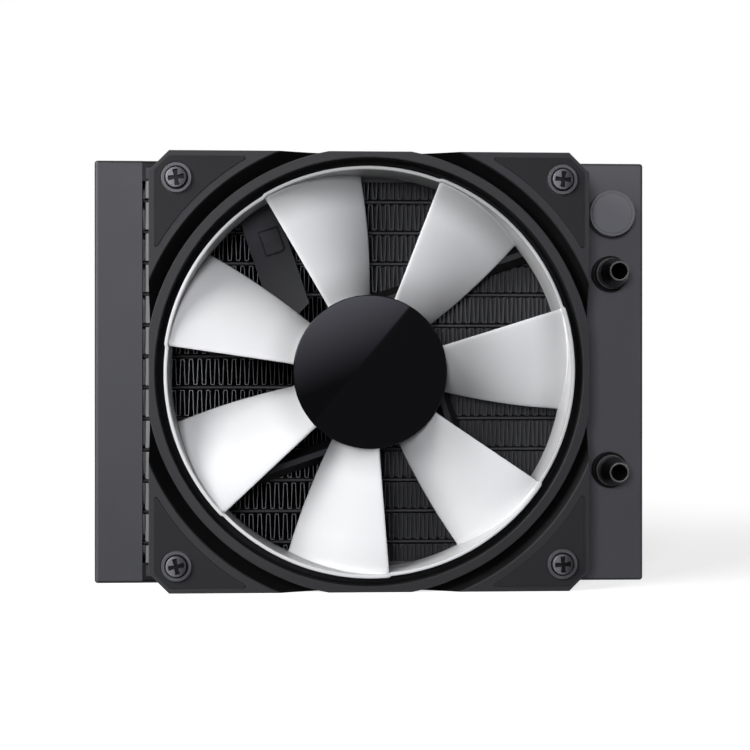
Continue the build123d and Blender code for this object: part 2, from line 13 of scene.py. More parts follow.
import bmesh
import bpy
import numpy as np
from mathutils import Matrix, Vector


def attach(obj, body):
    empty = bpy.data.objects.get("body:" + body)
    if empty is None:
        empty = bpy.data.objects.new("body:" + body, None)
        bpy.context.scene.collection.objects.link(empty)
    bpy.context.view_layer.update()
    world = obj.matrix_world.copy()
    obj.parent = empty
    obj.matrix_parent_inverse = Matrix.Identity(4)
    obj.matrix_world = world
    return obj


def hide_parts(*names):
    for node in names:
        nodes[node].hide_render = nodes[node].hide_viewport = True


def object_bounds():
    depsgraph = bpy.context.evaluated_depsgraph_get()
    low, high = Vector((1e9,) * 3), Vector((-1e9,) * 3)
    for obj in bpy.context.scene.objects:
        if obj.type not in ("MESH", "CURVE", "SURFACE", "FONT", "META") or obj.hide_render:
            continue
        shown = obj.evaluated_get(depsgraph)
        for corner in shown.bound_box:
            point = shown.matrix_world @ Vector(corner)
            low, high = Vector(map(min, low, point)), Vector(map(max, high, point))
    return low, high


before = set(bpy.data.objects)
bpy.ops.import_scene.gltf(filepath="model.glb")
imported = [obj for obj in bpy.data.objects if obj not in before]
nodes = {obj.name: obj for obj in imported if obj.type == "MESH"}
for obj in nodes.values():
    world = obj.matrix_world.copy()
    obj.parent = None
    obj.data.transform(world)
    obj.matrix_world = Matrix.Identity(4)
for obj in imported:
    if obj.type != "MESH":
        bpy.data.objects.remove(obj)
cad_low, cad_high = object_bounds()
MM = 0.001
print("box in mm", [round(v / MM, 1) for v in cad_low], [round(v / MM, 1) for v in cad_high])

# %% [markdown]
# ## The camera
#
# The photograph was taken square on, from a little left of the fan's axis and half a metre away. The frame's
# edges lean by about half a degree, which gives the turn to the right, and the radiator looks four per cent
# smaller than the fan in front of it, which gives the distance. A camera can also be placed by eye, but
# measured values bring every edge to its place at once.

# %% Camera
PICTURE_PIXELS = 750.0
LENS_PIXELS = 1776.0
SENSOR = 36.0
CAMERA_X = -24.7
CAMERA_Y = -534.0
NEAREST = 10.0
TURN_RIGHT = 3.08
TILT_DOWN = 0.1


def add_camera():
    """A camera on the photograph's viewpoint.

    Its lens is the sensor's width times the focal length in pixels over the picture's width in pixels.
    """
    data = bpy.data.cameras.new("camera")
    data.sensor_width = SENSOR
    data.lens = SENSOR * LENS_PIXELS / PICTURE_PIXELS
    data.clip_start = NEAREST * MM
    camera = bpy.data.objects.new("camera", data)
    camera.location = (CAMERA_X * MM, CAMERA_Y * MM, 0)
    camera.rotation_euler = (math.radians(90 - TILT_DOWN), 0, math.radians(-TURN_RIGHT))
    bpy.context.scene.collection.objects.link(camera)
    bpy.context.scene.camera = camera
    return camera


camera = add_camera()
bpy.context.scene.view_settings.view_transform = "Standard"
print("lens", round(camera.data.lens, 1), "mm")

# %% [markdown]
# ## Surfaces as arrays
#
# A surface here is a grid of points, worked out as one numpy array, whose neighbours are joined by
# four-sided faces. Another way is to start from a cylinder or a cube and edit it, but an array says the form
# as a formula and is quick for thousands of points. Three small tools are enough: one joins a grid into
# faces, one rounds the corners of an outline, and one turns an outline about an axis along Y.

# %% Grid tools
LONGEST_ROUNDING = 0.42


def quads(points, wrap_rows=False, wrap_columns=False):
    """Faces over a grid: each point (i, j) is joined with (i, j+1), (i+1, j+1) and (i+1, j)."""
    rows, columns = points.shape[:2]
    i = np.arange(rows if wrap_rows else rows - 1)[:, None]
    j = np.arange(columns if wrap_columns else columns - 1)[None, :]
    down, right = (i + 1) % rows, (j + 1) % columns
    corners = [i * columns + j, i * columns + right, down * columns + right, down * columns + j]
    return points.reshape(-1, 3), np.stack(np.broadcast_arrays(*corners), axis=-1).reshape(-1, 4)


def rounded(corners, radius, steps=4, closed=True, hold=0.15):
    """An outline with rounded corners.

    Each corner P becomes the curve (1-t)^2 A + 2t(1-t) P + t^2 B, where A and B lie one radius away on its
    two sides, or less on a short side. One more point a little further out on each side keeps the flats flat
    in smooth shading.
    """
    points = np.asarray(corners, float)
    back = np.roll(points, 1, axis=0) - points
    on = np.roll(points, -1, axis=0) - points
    back_length = np.linalg.norm(back, axis=1, keepdims=True)
    on_length = np.linalg.norm(on, axis=1, keepdims=True)
    limit = np.minimum(back_length, on_length) * LONGEST_ROUNDING
    radius = np.minimum(np.broadcast_to(np.asarray(radius, float), len(points))[:, None], limit)
    start = points + back / back_length * radius
    end = points + on / on_length * radius
    t = np.linspace(0, 1, steps + 1)[None, :, None]
    curve = (1 - t) ** 2 * start[:, None] + 2 * t * (1 - t) * points[:, None] + t**2 * end[:, None]
    first = (points + back / back_length * radius * (1 + hold))[:, None]
    last = (points + on / on_length * radius * (1 + hold))[:, None]
    curve = np.concatenate([first, curve, last], axis=1)
    if not closed:
        inside = curve[1:-1].reshape(-1, 2)
        return np.concatenate([points[:1], inside, points[-1:]])
    return curve.reshape(-1, 2)


def turned(outline, count=96, centre=(0.0, 0.0)):
    """An outline of (radius, depth) points round an axis along Y: x = cx + r cos a, z = cz + r sin a."""
    radius, depth = np.asarray(outline, float).T
    angle = np.linspace(0, 2 * np.pi, count, endpoint=False)
    x = centre[0] + radius[:, None] * np.cos(angle)
    z = centre[1] + radius[:, None] * np.sin(angle)
    y = np.broadcast_to(depth[:, None], x.shape)
    return np.stack([x, y, z], axis=-1)


print("an outline's corner becomes", len(rounded([(0, 0), (1, 0), (1, 1), (0, 1)], 0.2)) // 4, "points")

# %% [markdown]
# A finished piece is one mesh whose object sits at the origin, so that a pattern on object coordinates stays
# where it is. Its points are merged where a grid closes on itself, its faces are turned outwards, and edges
# sharper than the crease angle stay crisp. Then it goes on the body that carries it, the solids it stands
# for are hidden, and it gets its finish.

# %% From grids to a piece
MERGE_DISTANCE = 0.0002
CREASE = 38.0


def merged(parts):
    """Several (points, faces) parts as one: each part's faces are counted on from the points before it."""
    counts = np.cumsum([0] + [len(points) for points, faces in parts[:-1]])
    points = np.concatenate([points for points, faces in parts])
    faces = np.concatenate([faces + count for (_, faces), count in zip(parts, counts)])
    return points, faces


def piece(name, parts, body, replaced, material, crease=CREASE):
    """One closed mesh in metres from parts in millimetres, on a body in place of the solids it shows."""
    points, faces = merged(parts)
    mesh = bpy.data.meshes.new(name)
    mesh.from_pydata((points * MM).tolist(), [], faces.tolist())
    work = bmesh.new()
    work.from_mesh(mesh)
    bmesh.ops.remove_doubles(work, verts=work.verts, dist=MERGE_DISTANCE * MM)
    bmesh.ops.dissolve_degenerate(work, edges=work.edges, dist=MERGE_DISTANCE * MM)
    bmesh.ops.recalc_face_normals(work, faces=work.faces)
    work.to_mesh(mesh)
    work.free()
    mesh.shade_smooth()
    mesh.set_sharp_from_angle(angle=math.radians(crease))
    mesh.materials.append(material)
    made = bpy.data.objects.new(name, mesh)
    bpy.context.scene.collection.objects.link(made)
    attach(made, body)
    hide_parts(*replaced)
    print(name, len(mesh.vertices), "points", len(mesh.polygons), "faces")


print("two joined squares have", len(merged([quads(np.zeros((2, 2, 3)))] * 2)[0]), "points before merging")

# %% [markdown]
# ## Daylight without a window: world, lamps and floor
#
# A product photograph is lit by big soft boxes, so shadows are soft and dark parts mirror bright rectangles.
# The world gives hardly any fill. What the camera sees of it is plain white. What a glossy surface sees of
# it depends on the direction: white behind the object, as the backdrop is, and dark on the camera's side, as
# a studio is. An environment picture would do the same, but a few nodes are easier to set and to read.

# %% World
FILL = 0.03
DARK_SIDE = 0.04
BACKDROP_START = -0.15
BACKDROP_FULL = 0.3


def node(tree, kind, inputs=None, **settings):
    """A new node with its settings, whose inputs are given as plain values or as sockets to be linked."""
    made = tree.nodes.new(kind)
    for key, value in settings.items():
        setattr(made, key, value)
    for key, value in (inputs or {}).items():
        if isinstance(value, bpy.types.NodeSocket):
            tree.links.new(value, made.inputs[key])
        else:
            made.inputs[key].default_value = value
    return made


def arithmetic(tree, operation, first, second=0.0):
    """One sum, product or comparison of two numbers, each a value or a socket."""
    return node(tree, "ShaderNodeMath", {0: first, 1: second}, operation=operation).outputs[0]


def studio_world():
    """White to the camera, an even grey to a matt surface; to a reflection white behind and dark in front."""
    world = bpy.data.worlds.new("studio")
    world.use_nodes = True
    tree = world.node_tree
    tree.nodes.clear()
    path = node(tree, "ShaderNodeLightPath")
    place = node(tree, "ShaderNodeTexCoord")
    depth = node(tree, "ShaderNodeSeparateXYZ", {0: place.outputs["Generated"]}).outputs["Y"]
    fade = {"Value": depth, "From Min": BACKDROP_START, "From Max": BACKDROP_FULL, "To Min": DARK_SIDE}
    behind = node(tree, "ShaderNodeMapRange", fade)
    mirrored = arithmetic(tree, "MAXIMUM", path.outputs["Is Glossy Ray"], path.outputs["Is Transmission Ray"])
    seen = node(tree, "ShaderNodeMix", {"Factor": mirrored, "A": FILL, "B": behind.outputs[0]})
    strength = arithmetic(tree, "MAXIMUM", seen.outputs[0], path.outputs["Is Camera Ray"])
    light = node(tree, "ShaderNodeBackground", {"Color": (1, 1, 1, 1), "Strength": strength})
    node(tree, "ShaderNodeOutputWorld", {"Surface": light.outputs[0]})
    bpy.context.scene.world = world
    return tree


world_tree = studio_world()
print("world of", len(world_tree.nodes), "nodes")

# %% [markdown]
# One large lamp at the upper left, about as far aside as in front, is the key. A small one behind the camera
# lights what faces it and leaves the rest dark, which gives the picture its contrast. Reflections don't see
# the small one, so it puts no bright spot on the glossy hub.

# %% Lamps
LAMP_AIM = (0, -0.04, 0)
KEY_PLACE = (-0.491, -0.483, 0.284)
KEY_SIZE = 0.4
KEY_WATTS = 3.55
FRONT_PLACE = (-0.165, -1.123, 0.096)
FRONT_SIZE = 0.2
FRONT_WATTS = 7.0
FRONT_COLOUR = (0.975, 0.985, 1.03)


def soft_box(name, place, size, watts):
    """A square lamp at a place in metres, turned towards the fan."""
    data = bpy.data.lights.new(name, "AREA")
    data.shape = "RECTANGLE"
    data.size = size
    data.size_y = size
    data.energy = watts
    lamp = bpy.data.objects.new(name, data)
    lamp.location = place
    lamp.rotation_euler = (Vector(LAMP_AIM) - Vector(place)).to_track_quat("-Z", "Y").to_euler()
    bpy.context.scene.collection.objects.link(lamp)
    return lamp


key_lamp = soft_box("key lamp", KEY_PLACE, KEY_SIZE, KEY_WATTS)
front_lamp = soft_box("front lamp", FRONT_PLACE, FRONT_SIZE, FRONT_WATTS)
front_lamp.visible_glossy = False
front_lamp.data.color = FRONT_COLOUR
print("lamps", [(lamp.name, round(lamp.data.energy, 2)) for lamp in (key_lamp, front_lamp)])

# %% [markdown]
# A glossy black disc shows nothing but what it mirrors. The hub's cap mirrors a small patch of the studio
# behind the camera, and there hangs a white card with one straight edge, whose light fades downwards. A light
# patch painted on the disc would be simpler, but it would look painted from any other side. Only reflections
# see the card, so it lights nothing matt.

# %% Light of the card
CARD_FADE = 71.0
CARD_TILT = 22.0
CARD_LIGHT = 1.65
CARD_DARK_X = 69.7
CARD_LEAST = 0.02
CARD_MOST = 1.2
CARD_CURVE = 1.4
CARD_COLOUR = (0.95, 0.94, 1.12, 1)


def card_light():
    """Brightness is the height above a dark, tilted line over the fade, kept within two ends, to a power."""
    material = bpy.data.materials.new("card light")
    material.use_nodes = True
    tree = material.node_tree
    tree.nodes.clear()
    place = node(tree, "ShaderNodeTexCoord").outputs["Object"]
    tilt = math.radians(CARD_TILT)
    across = (-math.sin(tilt), 0, math.cos(tilt))
    height = node(tree, "ShaderNodeVectorMath", {0: place, 1: across}, operation="DOT_PRODUCT")
    above = arithmetic(tree, "SUBTRACT", height.outputs["Value"], across[0] * CARD_DARK_X * MM)
    share = arithmetic(tree, "MAXIMUM", arithmetic(tree, "DIVIDE", above, CARD_FADE * MM), CARD_LEAST)
    share = arithmetic(tree, "POWER", arithmetic(tree, "MINIMUM", share, CARD_MOST), CARD_CURVE)
    strength = arithmetic(tree, "MULTIPLY", share, CARD_LIGHT)
    light = node(tree, "ShaderNodeEmission", {"Color": CARD_COLOUR, "Strength": strength})
    node(tree, "ShaderNodeOutputMaterial", {"Surface": light.outputs[0]})
    return material


print("card light at most", round(CARD_LIGHT * CARD_MOST**CARD_CURVE, 2))

# %% Card for the hub's reflection
CARD_Y = -1400.0
CARD_EDGE_START = (58.4, 6.1)
CARD_EDGE_END = (108.8, 66.8)
CARD_BACK = 160.0
CARD_REACH = 420.0


def reflection_card():
    """A flat card far behind the camera, from a straight edge outwards, that only reflections see."""
    start, end = np.array(CARD_EDGE_START), np.array(CARD_EDGE_END)
    along = (end - start) / np.linalg.norm(end - start)
    aside = np.array([-along[1], along[0]])
    flat = [start - along * CARD_BACK, start + along * CARD_REACH]
    flat += [flat[1] + aside * CARD_REACH, flat[0] + aside * CARD_REACH]
    mesh = bpy.data.meshes.new("card")
    mesh.from_pydata([(x * MM, CARD_Y * MM, z * MM) for x, z in flat], [], [(0, 1, 2, 3)])
    mesh.materials.append(card_light())
    made = bpy.data.objects.new("card", mesh)
    made.visible_camera = False
    made.visible_diffuse = False
    made.visible_shadow = False
    bpy.context.scene.collection.objects.link(made)
    return np.array(flat)


card_corners = reflection_card()
print("card from", card_corners.min(axis=0).round(), "to", card_corners.max(axis=0).round(), "mm")

# %% [markdown]
# The floor is white paper at the object's foot. Lit paper alone would turn grey in the picture, because the
# studio is dim. So to the camera it also glows, a little less near the object, where the shadow falls, and
# up to plain white further out. It is hidden from other surfaces, so the glow lights nothing.

# %% Floor
FLOOR_HALF = 3.0
FLOOR_COLOUR = (0.8, 0.8, 0.8, 1)
FLOOR_GLOW = 0.75
FLOOR_SHADE_NEAR = 0.12
FLOOR_SHADE_FAR = 0.5


def paper():
    """Matt white that the camera sees with a glow: the glow rises from its least to 1 with the distance."""
    material = bpy.data.materials.new("pale floor")
    material.use_nodes = True
    tree = material.node_tree
    tree.nodes.clear()
    path = node(tree, "ShaderNodeLightPath")
    matt = node(tree, "ShaderNodeBsdfDiffuse", {"Color": FLOOR_COLOUR}).outputs[0]
    place = node(tree, "ShaderNodeTexCoord").outputs["Object"]
    far = node(tree, "ShaderNodeVectorMath", {0: place}, operation="LENGTH").outputs["Value"]
    rise = {"Value": far, "From Min": FLOOR_SHADE_NEAR, "From Max": FLOOR_SHADE_FAR, "To Min": FLOOR_GLOW}
    lift = node(tree, "ShaderNodeMapRange", rise)
    glow = node(tree, "ShaderNodeEmission", {"Color": (1, 1, 1, 1), "Strength": lift.outputs[0]})
    lit = node(tree, "ShaderNodeAddShader", {0: matt, 1: glow.outputs[0]}).outputs[0]
    seen = node(tree, "ShaderNodeMixShader", {0: path.outputs["Is Camera Ray"], 1: matt, 2: lit})
    node(tree, "ShaderNodeOutputMaterial", {"Surface": seen.outputs[0]})
    return material


def pale_floor():
    """One large square at the height of the object's foot."""
    mesh = bpy.data.meshes.new("floor")
    corners = [(-1, -1), (1, -1), (1, 1), (-1, 1)]
    mesh.from_pydata([(x * FLOOR_HALF, y * FLOOR_HALF, cad_low[2]) for x, y in corners], [], [(0, 1, 2, 3)])
    mesh.materials.append(paper())
    made = bpy.data.objects.new("floor", mesh)
    made.visible_glossy = False
    made.visible_diffuse = False
    bpy.context.scene.collection.objects.link(made)


pale_floor()
print("floor at", round(cad_low[2] / MM, 1), "mm")

# %% [markdown]
# ## Finishes
#
# Every surface of the real object varies a little: paint has a fine orange peel, moulded plastic a faint
# grain, and nothing is equally clean all over. Two shared effects give that, as node groups, so that each
# finish only sets its own numbers. The first gives a slow change of tone and a fine grain, both from noise in
# the object's own coordinates. The second is a thin veil of dust on what faces up. Photographs of paint would
# look real too, but they would have to be laid out on every piece. The shader itself stays in each material.

# %% Shared effect: tone and grain
MID_GREY = (0.5, 0.5, 0.5, 1)
BROAD_DETAIL = 3.0
FINE_DETAIL = 2.0
NOISE_MIDDLE = 0.5
NOISE_GAIN = 4.0


def effect(name, inputs, outputs):
    """A new node group with inputs, given as (name, kind, value), and outputs, given as (name, kind)."""
    tree = bpy.data.node_groups.new(name, "ShaderNodeTree")
    for label, kind, value in inputs:
        socket = tree.interface.new_socket(label, in_out="INPUT", socket_type="NodeSocket" + kind)
        socket.default_value = value
    for label, kind in outputs:
        tree.interface.new_socket(label, in_out="OUTPUT", socket_type="NodeSocket" + kind)
    return tree, tree.nodes.new("NodeGroupInput").outputs


def tone_and_grain():
    """Tone is the colour times 1 plus or minus the spread, by a broad noise. Grain is a fine noise."""
    inputs = [("Color", "Color", MID_GREY), ("Spread", "Float", 0.1)]
    inputs += [("Tone Scale", "Float", 60.0), ("Grain Scale", "Float", 2500.0)]
    outputs = [("Color", "Color"), ("Tone", "Float"), ("Grain", "Float")]
    tree, given = effect("tone and grain", inputs, outputs)
    place = node(tree, "ShaderNodeTexCoord").outputs["Object"]
    broad_noise = {"Vector": place, "Scale": given["Tone Scale"], "Detail": BROAD_DETAIL}
    fine_noise = {"Vector": place, "Scale": given["Grain Scale"], "Detail": FINE_DETAIL}
    broad = node(tree, "ShaderNodeTexNoise", broad_noise).outputs[0]
    fine = node(tree, "ShaderNodeTexNoise", fine_noise).outputs[0]
    swing = arithmetic(tree, "MULTIPLY", arithmetic(tree, "SUBTRACT", broad, NOISE_MIDDLE), given["Spread"])
    share = arithmetic(tree, "ADD", arithmetic(tree, "MULTIPLY", swing, NOISE_GAIN), 1.0)
    colour = node(tree, "ShaderNodeVectorMath", {0: given["Color"], "Scale": share}, operation="SCALE")
    node(tree, "NodeGroupOutput", {"Color": colour.outputs[0], "Tone": broad, "Grain": fine})
    return tree


TONE = tone_and_grain()
print("effect", TONE.name, "of", len(TONE.nodes), "nodes")

# %% Shared effect: dust
SPECK_SCALE = 420.0
SPECK_DETAIL = 4.0
DUST_COLOUR = (0.45, 0.44, 0.42, 1)


def dust_veil():
    """The colour mixed towards pale dust where the surface faces up, broken by noise."""
    inputs = [("Color", "Color", MID_GREY), ("Dust", "Float", 0.05)]
    tree, given = effect("dust veil", inputs, [("Color", "Color"), ("Cover", "Float")])
    place = node(tree, "ShaderNodeTexCoord").outputs["Object"]
    facing = node(tree, "ShaderNodeSeparateXYZ", {0: node(tree, "ShaderNodeNewGeometry").outputs["Normal"]})
    up = arithmetic(tree, "MAXIMUM", facing.outputs["Z"], 0.0)
    noise = {"Vector": place, "Scale": SPECK_SCALE, "Detail": SPECK_DETAIL}
    specks = node(tree, "ShaderNodeTexNoise", noise).outputs[0]
    cover = arithmetic(tree, "MULTIPLY", arithmetic(tree, "MULTIPLY", up, specks), given["Dust"])
    colours = {0: cover, 6: given["Color"], 7: DUST_COLOUR}
    veiled = node(tree, "ShaderNodeMix", colours, data_type="RGBA").outputs[2]
    node(tree, "NodeGroupOutput", {"Color": veiled, "Cover": cover})
    return tree


DUST = dust_veil()
print("effect", DUST.name, "of", len(DUST.nodes), "nodes")

# %% [markdown]
# ### Shades by place
#
# The photograph's dark corners come from many reflections between big soft boxes, which two lamps don't
# repeat: a narrow groove that is black there still catches light here. Painted pictures could mend that, but
# they need unwrapped meshes. A shade is simpler: a share, worked out from the place on the object in
# millimetres, by which a finish multiplies its colour. It belongs to the object and not to the view, so it
# stays the same from behind, and on the rotor it turns with the blades. A third shared group gives places.

# %% Tools for shades


def minus(tree, first, second):
    """The first less the second."""
    return arithmetic(tree, "SUBTRACT", first, second)


def unsigned(tree, value):
    """The value without its sign."""
    return arithmetic(tree, "ABSOLUTE", value)


def distance(tree, first, second):
    """The length of the vector (first, second)."""
    squares = [arithmetic(tree, "POWER", value, 2.0) for value in (first, second)]
    return arithmetic(tree, "SQRT", arithmetic(tree, "ADD", *squares))


def ramp(tree, value, span, low=0.0, high=1.0):
    """Low before the span, high after it, and a smooth step over it."""
    inputs = {"Value": value, "From Min": span[0], "From Max": span[1], "To Min": low, "To Max": high}
    return node(tree, "ShaderNodeMapRange", inputs, interpolation_type="SMOOTHSTEP").outputs[0]


def fall(tree, value, span):
    """One before the span, nothing after it."""
    return ramp(tree, value, span, 1.0, 0.0)


def product(tree, *values):
    """All the values multiplied."""
    result = values[0]
    for value in values[1:]:
        result = arithmetic(tree, "MULTIPLY", result, value)
    return result


def less(tree, mask, share):
    """One outside the mask, and less by the share inside it."""
    return minus(tree, 1.0, product(tree, mask, share))


print("tools", [tool.__name__ for tool in (minus, unsigned, distance, ramp, fall, product, less)])

# %% Places in millimetres


def millimetres():
    """The object's own coordinates in millimetres: across, deep, up, and the distance from the fan's axis."""
    names = ("Across", "Deep", "Up", "Radius")
    tree = effect("millimetres", [], [(name, "Float") for name in names])[0]
    place = node(tree, "ShaderNodeTexCoord").outputs["Object"]
    scaled = node(tree, "ShaderNodeVectorMath", {0: place, "Scale": 1 / MM}, operation="SCALE").outputs[0]
    x, y, z = node(tree, "ShaderNodeSeparateXYZ", {0: scaled}).outputs
    node(tree, "NodeGroupOutput", dict(zip(names, (x, y, z, distance(tree, x, z)))))
    return tree


PLACE = millimetres()


def place_in_mm(tree):
    """The four places of the shared group, in one material: across, deep, up and radius."""
    return tuple(node(tree, "ShaderNodeGroup", node_tree=PLACE).outputs)


print("places", [output.name for output in PLACE.interface.items_tree])

# %% [markdown]
# The fan's frame is one black moulding. The round groove in its front lets no light out, the barrel is darker
# inside than on its face, and the struts behind the blades show bright crests and dark slopes. All this could
# be left to the lamps, but two lamps give less contrast than the photograph has.

# %% Shade of the fan's frame
# painted shade in the groove, inside the barrel, at the lower right and on the struts' slopes
GROOVE_INNER_EDGE = (61.1, 61.2)
GROOVE_OUTER_EDGE = (64.75, 65.0)
GROOVE_FLOOR = (-51.6, -51.0)
GROOVE_DARK = 0.9
BARREL_EDGE = (56.7, 56.9)
BARREL_SHARE = 0.74
STRUT_SLOPE = (-32.35, -32.0)
STRUT_DARK = 0.72
LOW_RIGHT = (15.0, 55.0)
LOW_RIGHT_SHARE = 0.8


def frame_shade(tree):
    """Painted shade: black in the round groove; darker in the barrel, at lower right and on strut slopes."""
    x, y, z, radius = place_in_mm(tree)
    round_groove = product(tree, ramp(tree, radius, GROOVE_INNER_EDGE), fall(tree, radius, GROOVE_OUTER_EDGE))
    groove = product(tree, round_groove, ramp(tree, y, GROOVE_FLOOR))
    slopes = product(tree, fall(tree, radius, BARREL_EDGE), ramp(tree, y, STRUT_SLOPE))
    inside = ramp(tree, radius, BARREL_EDGE, BARREL_SHARE, 1.0)
    low_right = ramp(tree, minus(tree, x, z), LOW_RIGHT, 1.0, LOW_RIGHT_SHARE)
    return product(tree, less(tree, groove, GROOVE_DARK), inside, low_right, less(tree, slopes, STRUT_DARK))


print("groove from", GROOVE_INNER_EDGE[0], "to", GROOVE_OUTER_EDGE[1], "mm from the axis")

# %% [markdown]
# The rotor is one white moulding, so every change of tone on it is light. Its blades darken towards the hub
# and the ring, where they stand close to other walls, and the ring's inner wall is dark at the upper left,
# where it turns away from the key lamp. The lamps give a part of this, and a share by place gives the rest.

# %% Shade of the rotor
# painted shade on the blades, and painted light and shade on the ring's inner wall
HUB_START = 20.5
HUB_SIDE = (10.0, 30.0)
HUB_STOPS = (31.0, 42.0)
HUB_SHARES = (0.68, 0.52)
RING_END = (45.0, 54.5)
RING_UPWARDS = (22.0, 44.0)
RING_UP_SHARES = (0.9, 0.5)
RING_SIDE = (34.0, 50.0)
RING_SIDE_SHARES = (1.0, 0.68)
WALL_RADIUS = (54.8, 54.95)
WALL_FRONT = (-50.6, -49.9)
WALL_LEAN = 0.4
WALL_SIDE = (8.0, 36.0)
WALL_SIDE_SHARES = (0.53, 1.0)
WALL_DEPTH = (-50.0, -36.0)
WALL_DEPTH_SHARES = (1.16, 0.86)


def blade_shade(tree):
    """Painted shade: darker towards the hub, most on the right, and towards the ring, most at the top and
    right.

    The ring's wall has painted light of its own, lighter towards the lower right and towards the front.
    """
    x, y, z, radius = place_in_mm(tree)
    hub_stop = ramp(tree, x, HUB_SIDE, *HUB_STOPS)
    hub_end = ramp(tree, radius, (HUB_START, hub_stop), ramp(tree, x, HUB_SIDE, *HUB_SHARES), 1.0)
    least_up = ramp(tree, z, RING_UPWARDS, *RING_UP_SHARES)
    least_aside = ramp(tree, x, RING_SIDE, *RING_SIDE_SHARES)
    ring_end = ramp(tree, radius, RING_END, 1.0, arithmetic(tree, "MINIMUM", least_up, least_aside))
    wall = product(tree, ramp(tree, radius, WALL_RADIUS), ramp(tree, y, WALL_FRONT))
    low_right = minus(tree, x, product(tree, z, WALL_LEAN))
    by_side = ramp(tree, low_right, WALL_SIDE, *WALL_SIDE_SHARES)
    by_depth = ramp(tree, y, WALL_DEPTH, *WALL_DEPTH_SHARES)
    shares = {"Factor": wall, "A": product(tree, hub_end, ring_end), "B": product(tree, by_side, by_depth)}
    return node(tree, "ShaderNodeMix", shares).outputs[0]


print("blades darken within", HUB_STOPS, "mm of the axis and from", RING_END[0], "mm on")

# %% [markdown]
# The tanks are folded sheet with a small round at each edge. Such an edge mirrors the dark side of the
# studio, except at the far left, where it shows a thin line of the key light. The side plates end in the
# shadow between tank and fan, and only a small patch of each catches light. Thinner lamps could draw such
# lines, but they would change all the rest, so these are painted: painted shade along the edges, a painted
# highlight line at the far left, and painted shadow with a painted lit patch on the plates' ends.

# %% Shades of tanks and side plates
tank_middle = round((cad_low[0] + cad_high[0]) / 2 / MM, 1)
tank_half = round((cad_high[0] - cad_low[0]) / 2 / MM, 1)
half_height = round(cad_high[2] / MM, 1)
# painted shade along the tanks' front edges
TANK_FACE = (-26.6, -26.1)
TANK_EDGE = (0.35, 0.75)
TANK_EDGE_DARK = 0.75
BETWEEN_TANKS = (-1.0, 1.0)
LEFT_NARROWER = 0.2
# painted highlight line along the left tank's left edge
LINE_START = (-76.7, -76.5)
LINE_END = (-76.2, -75.9)
LINE_GAIN = 0.6
# painted shadow on the side plates' left ends, with a painted lit patch
PLATE_END = (-60.0, -58.0)
PLATE_FACE = (-26.4, -25.6)
PATCH_START = (-62.65, -62.45)
PATCH_LOW = (54.8, 55.1)
PATCH_HIGH = (57.8, 58.1)
PATCH_GAIN = 0.5
SHADOW_SHARE = 0.06


def tank_shade(tree):
    """Painted shade near the front's outer edges, narrower on the left tank; a painted lit line at far left.

    The margin of a place is its distance from the nearest of the radiator's outer edges.
    """
    x, y, z, _ = place_in_mm(tree)
    aside = minus(tree, tank_half, unsigned(tree, minus(tree, x, tank_middle)))
    aside = arithmetic(tree, "ADD", aside, ramp(tree, x, BETWEEN_TANKS, LEFT_NARROWER, 0.0))
    margin = arithmetic(tree, "MINIMUM", aside, minus(tree, half_height, unsigned(tree, z)))
    dark = product(tree, fall(tree, margin, TANK_EDGE), TANK_EDGE_DARK)
    line = product(tree, ramp(tree, x, LINE_START), fall(tree, x, LINE_END), LINE_GAIN)
    change = product(tree, fall(tree, y, TANK_FACE), minus(tree, line, dark))
    return arithmetic(tree, "ADD", 1.0, change)


def plate_shade(tree):
    """Painted shadow on the front of the plates' left ends, but for a painted lit patch between two heights.
    """
    x, y, z, _ = place_in_mm(tree)
    height = unsigned(tree, z)
    ends = product(tree, fall(tree, x, PLATE_END), fall(tree, y, PLATE_FACE))
    band = product(tree, ramp(tree, height, PATCH_LOW), fall(tree, height, PATCH_HIGH))
    patch = product(tree, ramp(tree, x, PATCH_START), band, PATCH_GAIN)
    share = arithmetic(tree, "ADD", patch, SHADOW_SHARE)
    return node(tree, "ShaderNodeMix", {"Factor": ends, "A": 1.0, "B": share}).outputs[0]


print("radiator's edges at", tank_middle - tank_half, tank_middle + tank_half, "and", half_height, "mm")

# %% [markdown]
# Between the blades the core shows its lit parts only: a pale line along each tube's nose, and the cut edges
# of the fins, bright at the left and hardly to be told from the sheet at the right. One more lamp could reach
# in from the left, but it would light the tanks as well, so here too painted light and shade by place decide.

# %% Shades of tubes and fins
TUBE_COUNT = 12
OUTER_TUBE_INSET = 11.27
# painted shade on the tubes' noses where they meet the fins
NOSE_SPAN = (0.12, 0.4)
NOSE_EDGE_SHARE = 0.12
FIN_TURN = (-8.0, 12.0)
# painted shadow beside the hub, painted light at the left and painted shade at the right
FIN_HUB_SPAN = (24.0, 40.0)
FIN_HUB_SIDE = (-10.0, 0.0)
FIN_HUB_DARK = 0.85
FIN_LIT_START = (-60.0, -58.0)
FIN_LIT_END = (-54.0, -36.0)
FIN_CUT_EDGE = (-25.45, -25.3)
FIN_CUT_DARK = 0.48
FIN_RIGHT_DARK = 0.36
tube_pitch = 2 * (half_height - OUTER_TUBE_INSET) / (TUBE_COUNT - 1)


def tube_shade(tree):
    """Painted shade: light along the middle of each tube's nose and dark where it meets the fins.

    The height counted in pitches has a fraction of a half at each tube's middle.
    """
    z = place_in_mm(tree)[2]
    pitches = arithmetic(tree, "ADD", arithmetic(tree, "DIVIDE", z, tube_pitch), TUBE_COUNT / 2)
    beside = unsigned(tree, minus(tree, arithmetic(tree, "FRACT", pitches), 0.5))
    return ramp(tree, product(tree, beside, tube_pitch), NOSE_SPAN, 1.0, NOSE_EDGE_SHARE)


